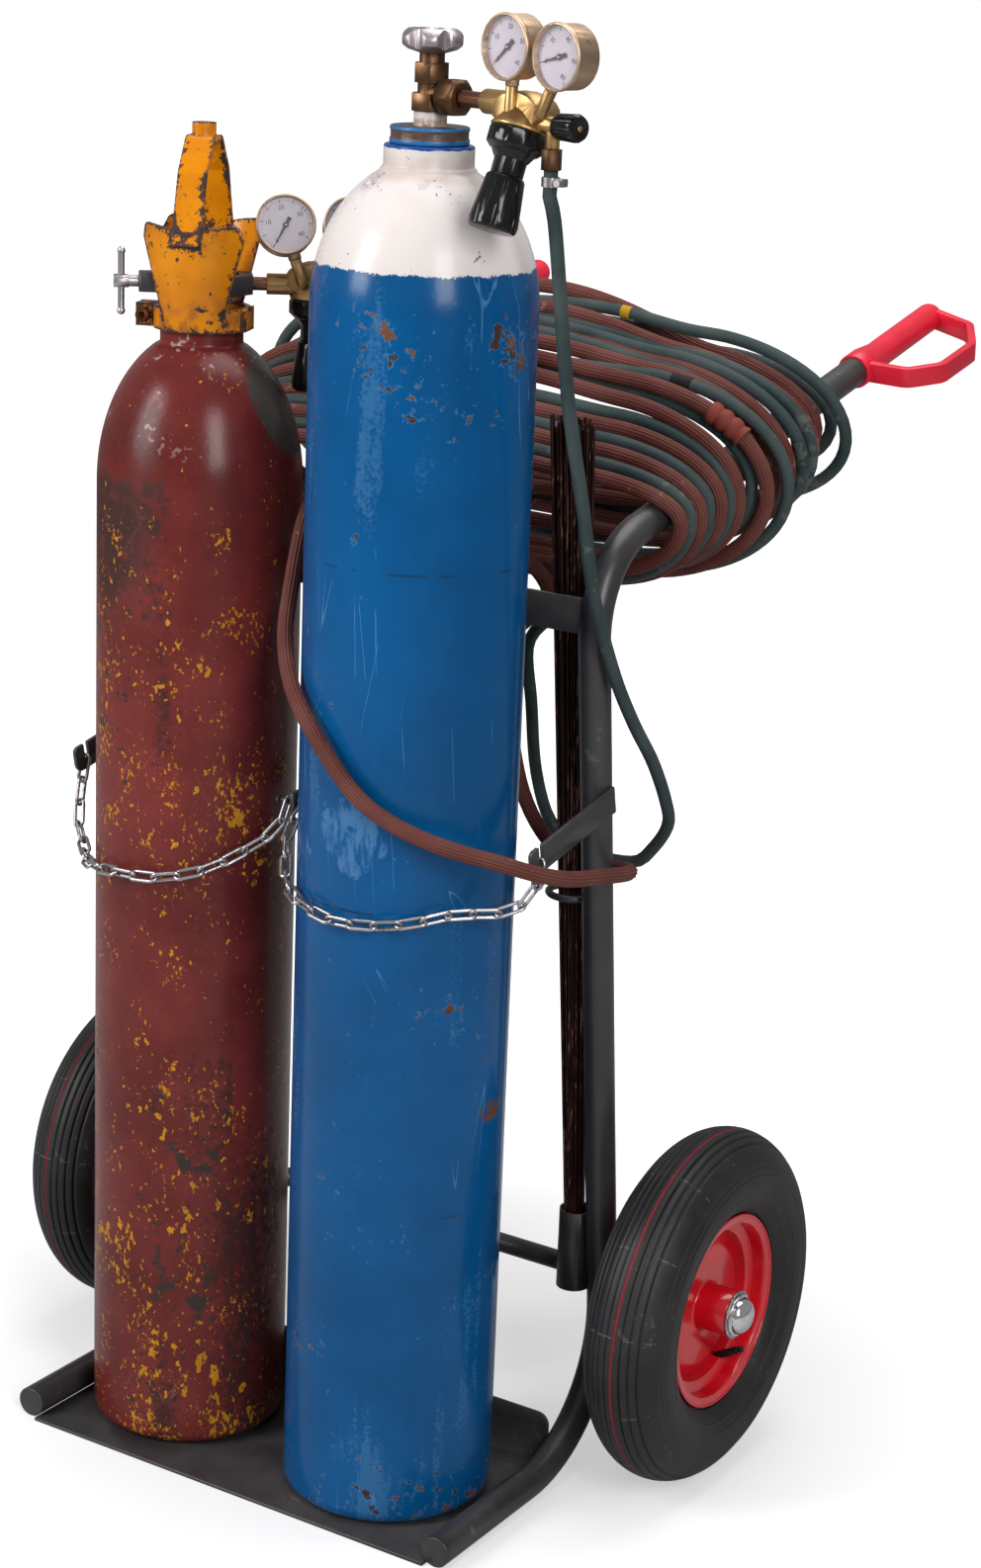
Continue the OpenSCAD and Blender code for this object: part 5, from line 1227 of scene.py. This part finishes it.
def make_valves():
    refine_all((
        ("oxygen_valve", metal("bronze"), 0.0008), ("oxygen_inlet_nut", metal("bronze"), 0.0008),
        ("oxygen_handwheel", metal("aluminium"), 0.0018), ("acetylene_valve", metal("bronze"), 0.0008),
        ("acetylene_yoke", yoke_paint(), 0.0012), ("clamp_screw", metal("zinc"), 0.0008),
        ("tommy_bar", metal("zinc"), 0.0010), ("guard_clamp_bolt", metal("rust"), 0.0008),
    ))
    mark_edges(refined("acetylene_guard", guard_paint(), 0.0012), "acetylene_guard", 0.009, 0.005)


def make_regulators():
    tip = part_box("acetylene_adjusting_knob")[0].z + 0.0015
    refine_all((
        ("oxygen_regulator", regulator_brass(*OXYGEN_BRASS), 0.0010),
        ("acetylene_regulator", regulator_brass(*ACETYLENE_BRASS), 0.0010),
        ("oxygen_bonnet", knob_plastic(), 0.0010), ("acetylene_bonnet", knob_plastic(), 0.0010),
        ("oxygen_adjusting_knob", knob_plastic(), 0.0012),
        ("acetylene_adjusting_knob", knob_plastic("Knob with red tip", tip), 0.0012),
        ("oxygen_outlet_knob", knob_plastic(), 0.0006), ("acetylene_outlet_knob", knob_plastic(), 0.0006),
        ("hose_nuts", metal("bronze"), 0.0006),
    ))
    for node in ("oxygen_outlet_knob", "acetylene_outlet_knob"):
        knob_rivet(node)


def knob_rivet(node):
    """Brass rivet in the end of an outlet knob, which turns with it."""
    joint = JOINTS[node.replace("_knob", "_turn")]
    pivot, out = Vector(joint["pos_m"]), Vector(joint["axis"]).normalized()
    reach = [(v.co - pivot).dot(out) for v in NODES[node].data.vertices]
    if -min(reach) > max(reach):
        out, reach = -out, [-r for r in reach]
    place = Matrix.Translation(pivot + max(reach) * out) @ out.to_track_quat("Z", "Y").to_matrix().to_4x4()
    profile = [(0, -0.001), (0.0028, -0.001), (0.0028, 0.0002), (0.0022, 0.0007), (0.0010, 0.0008), (0, 0.0004)]
    rivet = lathe(node + "_rivet", profile, place, metal("brass"), 24)
    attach(rivet, NODES[node]["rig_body"])


# Gauges

GAUGES = ("oxygen_cylinder", "oxygen_line", "acetylene_cylinder", "acetylene_line")
SCALE_START = math.radians(225)
SCALE_SWEEP = math.radians(-270)
DIAL_RADIUS = 0.0288
NUMBER_RADIUS = 0.0185
NUMBER_SIZE = 0.0066
LIMIT_SHARE = 0.72


def gauge_place(joint, needle):
    """Frame of a gauge: Z out of its dial, X to its right, origin on the dial's plate."""
    pivot = Vector(joint["pos_m"])
    out = -Vector(joint["axis"]).normalized()
    points = [v.co - pivot for v in NODES[needle].data.vertices]
    flat = [p - p.dot(out) * out for p in points]
    toward = max(flat, key=lambda p: p.length).normalized()
    right = Matrix.Rotation(-SCALE_START, 3, out) @ toward
    low = min(p.dot(out) for p in points) - 0.0010
    matrix = Matrix((right, out.cross(right), out)).transposed().to_4x4()
    matrix.translation = pivot + out * low
    return matrix


def numeral(text, at, matrix):
    """A flat number on a dial."""
    curve = bpy.data.curves.new("numeral", "FONT")
    curve.body = text
    curve.size = NUMBER_SIZE
    curve.align_x, curve.align_y = "CENTER", "CENTER"
    curve.extrude = 0.00004
    holder = bpy.data.objects.new("numeral", curve)
    mesh = bpy.data.meshes.new_from_object(holder)
    bpy.data.objects.remove(holder)
    mesh.transform(matrix @ Matrix.Translation((*at, 0.0001)))
    return mesh


def joined(name, meshes, material):
    """One piece of several meshes."""
    whole = bpy.data.meshes.new(name)
    with editing(whole) as b:
        for mesh in meshes:
            b.from_mesh(mesh)
    return new_object(name, whole, material, smooth=False)


def marks(place, material, number, start, sweep, inset, size):
    """Marks on a dial, placed on its gauge."""
    made = grown("marks", radial_marks(), material, Count=number, Start=start, Sweep=sweep,
                 Radius=DIAL_RADIUS - inset, Length=size[0], Width=size[1], Depth=size[2])
    made.data.transform(place)
    return made


def make_gauges():
    refined("gauge_cases", metal("case"), 0.0006)
    coat("gauge_dials", dial_face())
    coat("gauge_lenses", lens_glass())
    black, red = ink("Scale ink", metals().ink), ink("Red ink", (0.45, 0.02, 0.02))
    fine = sizes().dial_marks
    for gauge in GAUGES:
        coat(gauge + "_needle", black)
        place = gauge_place(JOINTS[gauge + "_pressure"], gauge + "_needle")
        printed = []
        for number, size in ((fine + 1, (0.0022, 0.00040, 0.0001)), (fine // 5 + 1, (0.0042, 0.0009, 0.0001))):
            ticks = marks(place, black, number, SCALE_START, SCALE_SWEEP, 0.0035, size)
            printed.append(ticks.data)
            bpy.data.objects.remove(ticks)
        step = 5 if "cylinder" in gauge else 10
        for k in range(0, 9, 2):
            turn = SCALE_START + SCALE_SWEEP * k / 8
            at = (NUMBER_RADIUS * math.cos(turn), NUMBER_RADIUS * math.sin(turn))
            printed.append(numeral(str(k * step), at, place))
        scale = joined(gauge + "_scale", printed, black)
        limit = marks(place, red, 1, SCALE_START + LIMIT_SHARE * SCALE_SWEEP, 0.0, 0.0040, (0.0050, 0.0009, 0.00016))
        limit.name = gauge + "_limit_mark"
        for piece in (scale, limit):
            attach(piece, "trolley")


# Frame, chains, rods and grips


def make_frame():
    refine_all((node, frame_paint(), bevel) for node, bevel in (
        ("toe_plate", 0.0010), ("upper_crossbar", 0.0010), ("chain_bracket_left", 0.0008),
        ("chain_bracket_right", 0.0008), ("centre_chain_hook", 0.0006), ("rod_cup", 0.0004),
        ("tube_end_caps", 0.0008)))
    for node in ("frame_tube_left", "frame_tube_right", "axle", "rod_ring"):
        coat(node, frame_paint())
    refined("axle_caps", chrome(), 0.0006)
    refined("axle_washers", metal("zinc"), 0.0004)


def make_chains():
    for node in ("chain_left", "chain_right"):
        coat(node, metal("zinc"))


def make_rods():
    low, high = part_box("filler_rods")
    cup = middle("rod_cup")
    rods = grown("rod_bundle", rod_bundle(), rod_coat(), Count=sizes().rods, Radius=sizes().rod / 2,
                 Foot=Vector((cup.x, cup.y + 0.0035, low.z + 0.0002)),
                 Head=Vector((0.228, AXLE.y - 0.097, high.z - 0.0001)))
    rods.data.shade_smooth()
    stand_for(sharpen(rods, 50), "filler_rods")


def make_grips():
    for node in ("grip_left", "grip_right"):
        refined(node, grip_plastic(), 0.0030, 4)


# Stage

# View of the trolley: the image's height, the lens and the camera's place from the axle
IMAGE_HEIGHT = 1586
FOCAL_PIXELS = 3107.8
SENSOR = 36.0
CAMERA_FROM_AXLE = Vector((1.8303, -2.7765, 1.7010))
CAMERA_TURN = math.radians(32.134)
CAMERA_DIP = math.radians(16.272)
CAMERA_ROLL = math.radians(2.296)
FLOOR_REACH = 60.0

# Soft boxes: place, aim, width, height and power
SOFT_BOXES = {
    "Left soft box": ((-1.9, -3.2, 2.6), (0, -0.3, 0.8), 1.3, 2.2, 118),
    "Right soft box": ((2.9, -2.4, 2.5), (0, -0.2, 0.8), 1.1, 2.2, 88),
    "Top soft box": ((0.2, 0.4, 3.6), (0, -0.1, 0.8), 2.2, 2.2, 62),
}


def make_camera():
    ahead = Vector((-math.sin(CAMERA_TURN) * math.cos(CAMERA_DIP), math.cos(CAMERA_TURN) * math.cos(CAMERA_DIP),
                    -math.sin(CAMERA_DIP)))
    level = Vector((math.cos(CAMERA_TURN), math.sin(CAMERA_TURN), 0))
    above = level.cross(ahead)
    right = math.cos(CAMERA_ROLL) * level + math.sin(CAMERA_ROLL) * above
    up = -math.sin(CAMERA_ROLL) * level + math.cos(CAMERA_ROLL) * above
    data = bpy.data.cameras.new("Camera")
    data.sensor_width = SENSOR
    data.lens = FOCAL_PIXELS * SENSOR / IMAGE_HEIGHT
    data.clip_end = 200
    camera = bpy.data.objects.new("Camera", data)
    camera.matrix_world = (Matrix.Translation(CAMERA_FROM_AXLE + Vector((0, AXLE.y, 0)))
                           @ Matrix((right, up, -ahead)).transposed().to_4x4())
    bpy.context.scene.collection.objects.link(camera)
    bpy.context.scene.camera = camera


def soft_box(name, at, aim, width, height, power):
    data = bpy.data.lights.new(name, "AREA")
    data.shape = "RECTANGLE"
    data.size, data.size_y = width, height
    data.energy = power
    lamp = bpy.data.objects.new(name, data)
    lamp.location = at
    lamp.rotation_mode = "QUATERNION"
    lamp.rotation_quaternion = (Vector(aim) - Vector(at)).to_track_quat("-Z", "Y")
    bpy.context.scene.collection.objects.link(lamp)


def make_world():
    """White to the camera and through glass, with softer light on the object and its reflections."""
    world = bpy.data.worlds.new("Studio")
    bpy.context.scene.world = world
    world.use_nodes = True
    g = Graph(world.node_tree)
    world.node_tree.nodes.clear()
    path = g.add("ShaderNodeLightPath").outputs
    seen = g.either(path["Is Camera Ray"], path["Is Transmission Ray"])
    strength = g.either(seen, g.product(path["Is Glossy Ray"], 0.30), 0.26)
    sky = g.add("ShaderNodeBackground", {"Color": (1.0, 1.0, 1.0), "Strength": strength})
    g.put(g.add("ShaderNodeOutputWorld").inputs[0], sky.outputs[0])


def floor_paper():
    """Pale paper that brightens to white away from the trolley, for the eye only."""
    def build(g):
        at = g.place(shift=(0, -AXLE.y, 0))
        away = g.vector("LENGTH", at)["Value"]
        # Painted glow: emission for camera rays only, weaker near the trolley and full far from it.
        seen = g.add("ShaderNodeLightPath").outputs["Is Camera Ray"]
        return {"Base Color": g.mix(g.noise(at, 0.8), (0.50, 0.50, 0.505), (0.53, 0.53, 0.53)),
                "Emission Strength": g.product(seen, g.between(g.rise(away, 0.30, 1.3), 0.45, 1.0))}
    return finish("Floor paper", build, Roughness=0.9, Specular_IOR_Level=0.1, Emission_Color=(1.0, 1.0, 1.0, 1.0))


def make_stage():
    make_camera()
    corners = [(x * FLOOR_REACH, AXLE.y + y * FLOOR_REACH, 0) for x, y in ((-1, -1), (1, -1), (1, 1), (-1, 1))]
    new_piece("studio_floor", corners, [(0, 1, 2, 3)], floor_paper())
    make_world()
    for name, settings in SOFT_BOXES.items():
        soft_box(name, *settings)
    bpy.context.scene.view_settings.view_transform = "Standard"


# Add-on


def operator(idname, label, words, make):
    """An operator class that runs one maker."""
    def execute(self, context):
        make()
        return {"FINISHED"}
    return type("TROLLEY_OT_" + idname, (bpy.types.Operator,), {
        "bl_idname": "trolley." + idname, "bl_label": label, "bl_options": {"REGISTER", "UNDO"},
        "__doc__": words, "execute": execute})


OPERATORS = [
    operator("stage", "Stage", "Adds the camera, floor, lights and world", make_stage),
    operator("hoses", "Hoses", "Lays the red and green hoses with their clips and connectors", make_hoses),
    operator("cylinders", "Cylinders", "Turns the two gas cylinders and paints them", make_cylinders),
    operator("wheels", "Wheels", "Turns the tyres, rims and stems", make_wheels),
    operator("valves", "Valves", "Dresses the valves, yoke and guard", make_valves),
    operator("regulators", "Regulators", "Dresses the regulators and their knobs", make_regulators),
    operator("gauges", "Gauges", "Prints the dials and finishes the gauges", make_gauges),
    operator("frame", "Frame", "Paints the frame, plates and axle", make_frame),
    operator("chains", "Chains", "Plates the chains", make_chains),
    operator("rods", "Rods", "Stands the filler rods in their cup", make_rods),
    operator("grips", "Grips", "Moulds the grips", make_grips),
]


class TROLLEY_PT_parts(bpy.types.Panel):
    """Lists the trolley's makers in the sidebar."""

    bl_idname = "TROLLEY_PT_parts"
    bl_label = "Gas Cylinder Trolley"
    bl_space_type = "VIEW_3D"
    bl_region_type = "UI"
    bl_category = "Trolley"

    def draw(self, context):
        for made in OPERATORS:
            self.layout.operator(made.bl_idname)


CLASSES = [*PROPERTY_GROUPS.values(), *OPERATORS, TROLLEY_PT_parts]


def register():
    for cls in CLASSES:
        bpy.utils.register_class(cls)
    for name, group in PROPERTY_GROUPS.items():
        setattr(bpy.types.Scene, name, PointerProperty(type=group))


def unregister():
    for name in PROPERTY_GROUPS:
        delattr(bpy.types.Scene, name)
    for cls in reversed(CLASSES):
        bpy.utils.unregister_class(cls)


def main():
    register()
    for made in OPERATORS:
        getattr(bpy.ops.trolley, made.bl_idname.split(".")[1])()


if __name__ == "__main__":
    main()
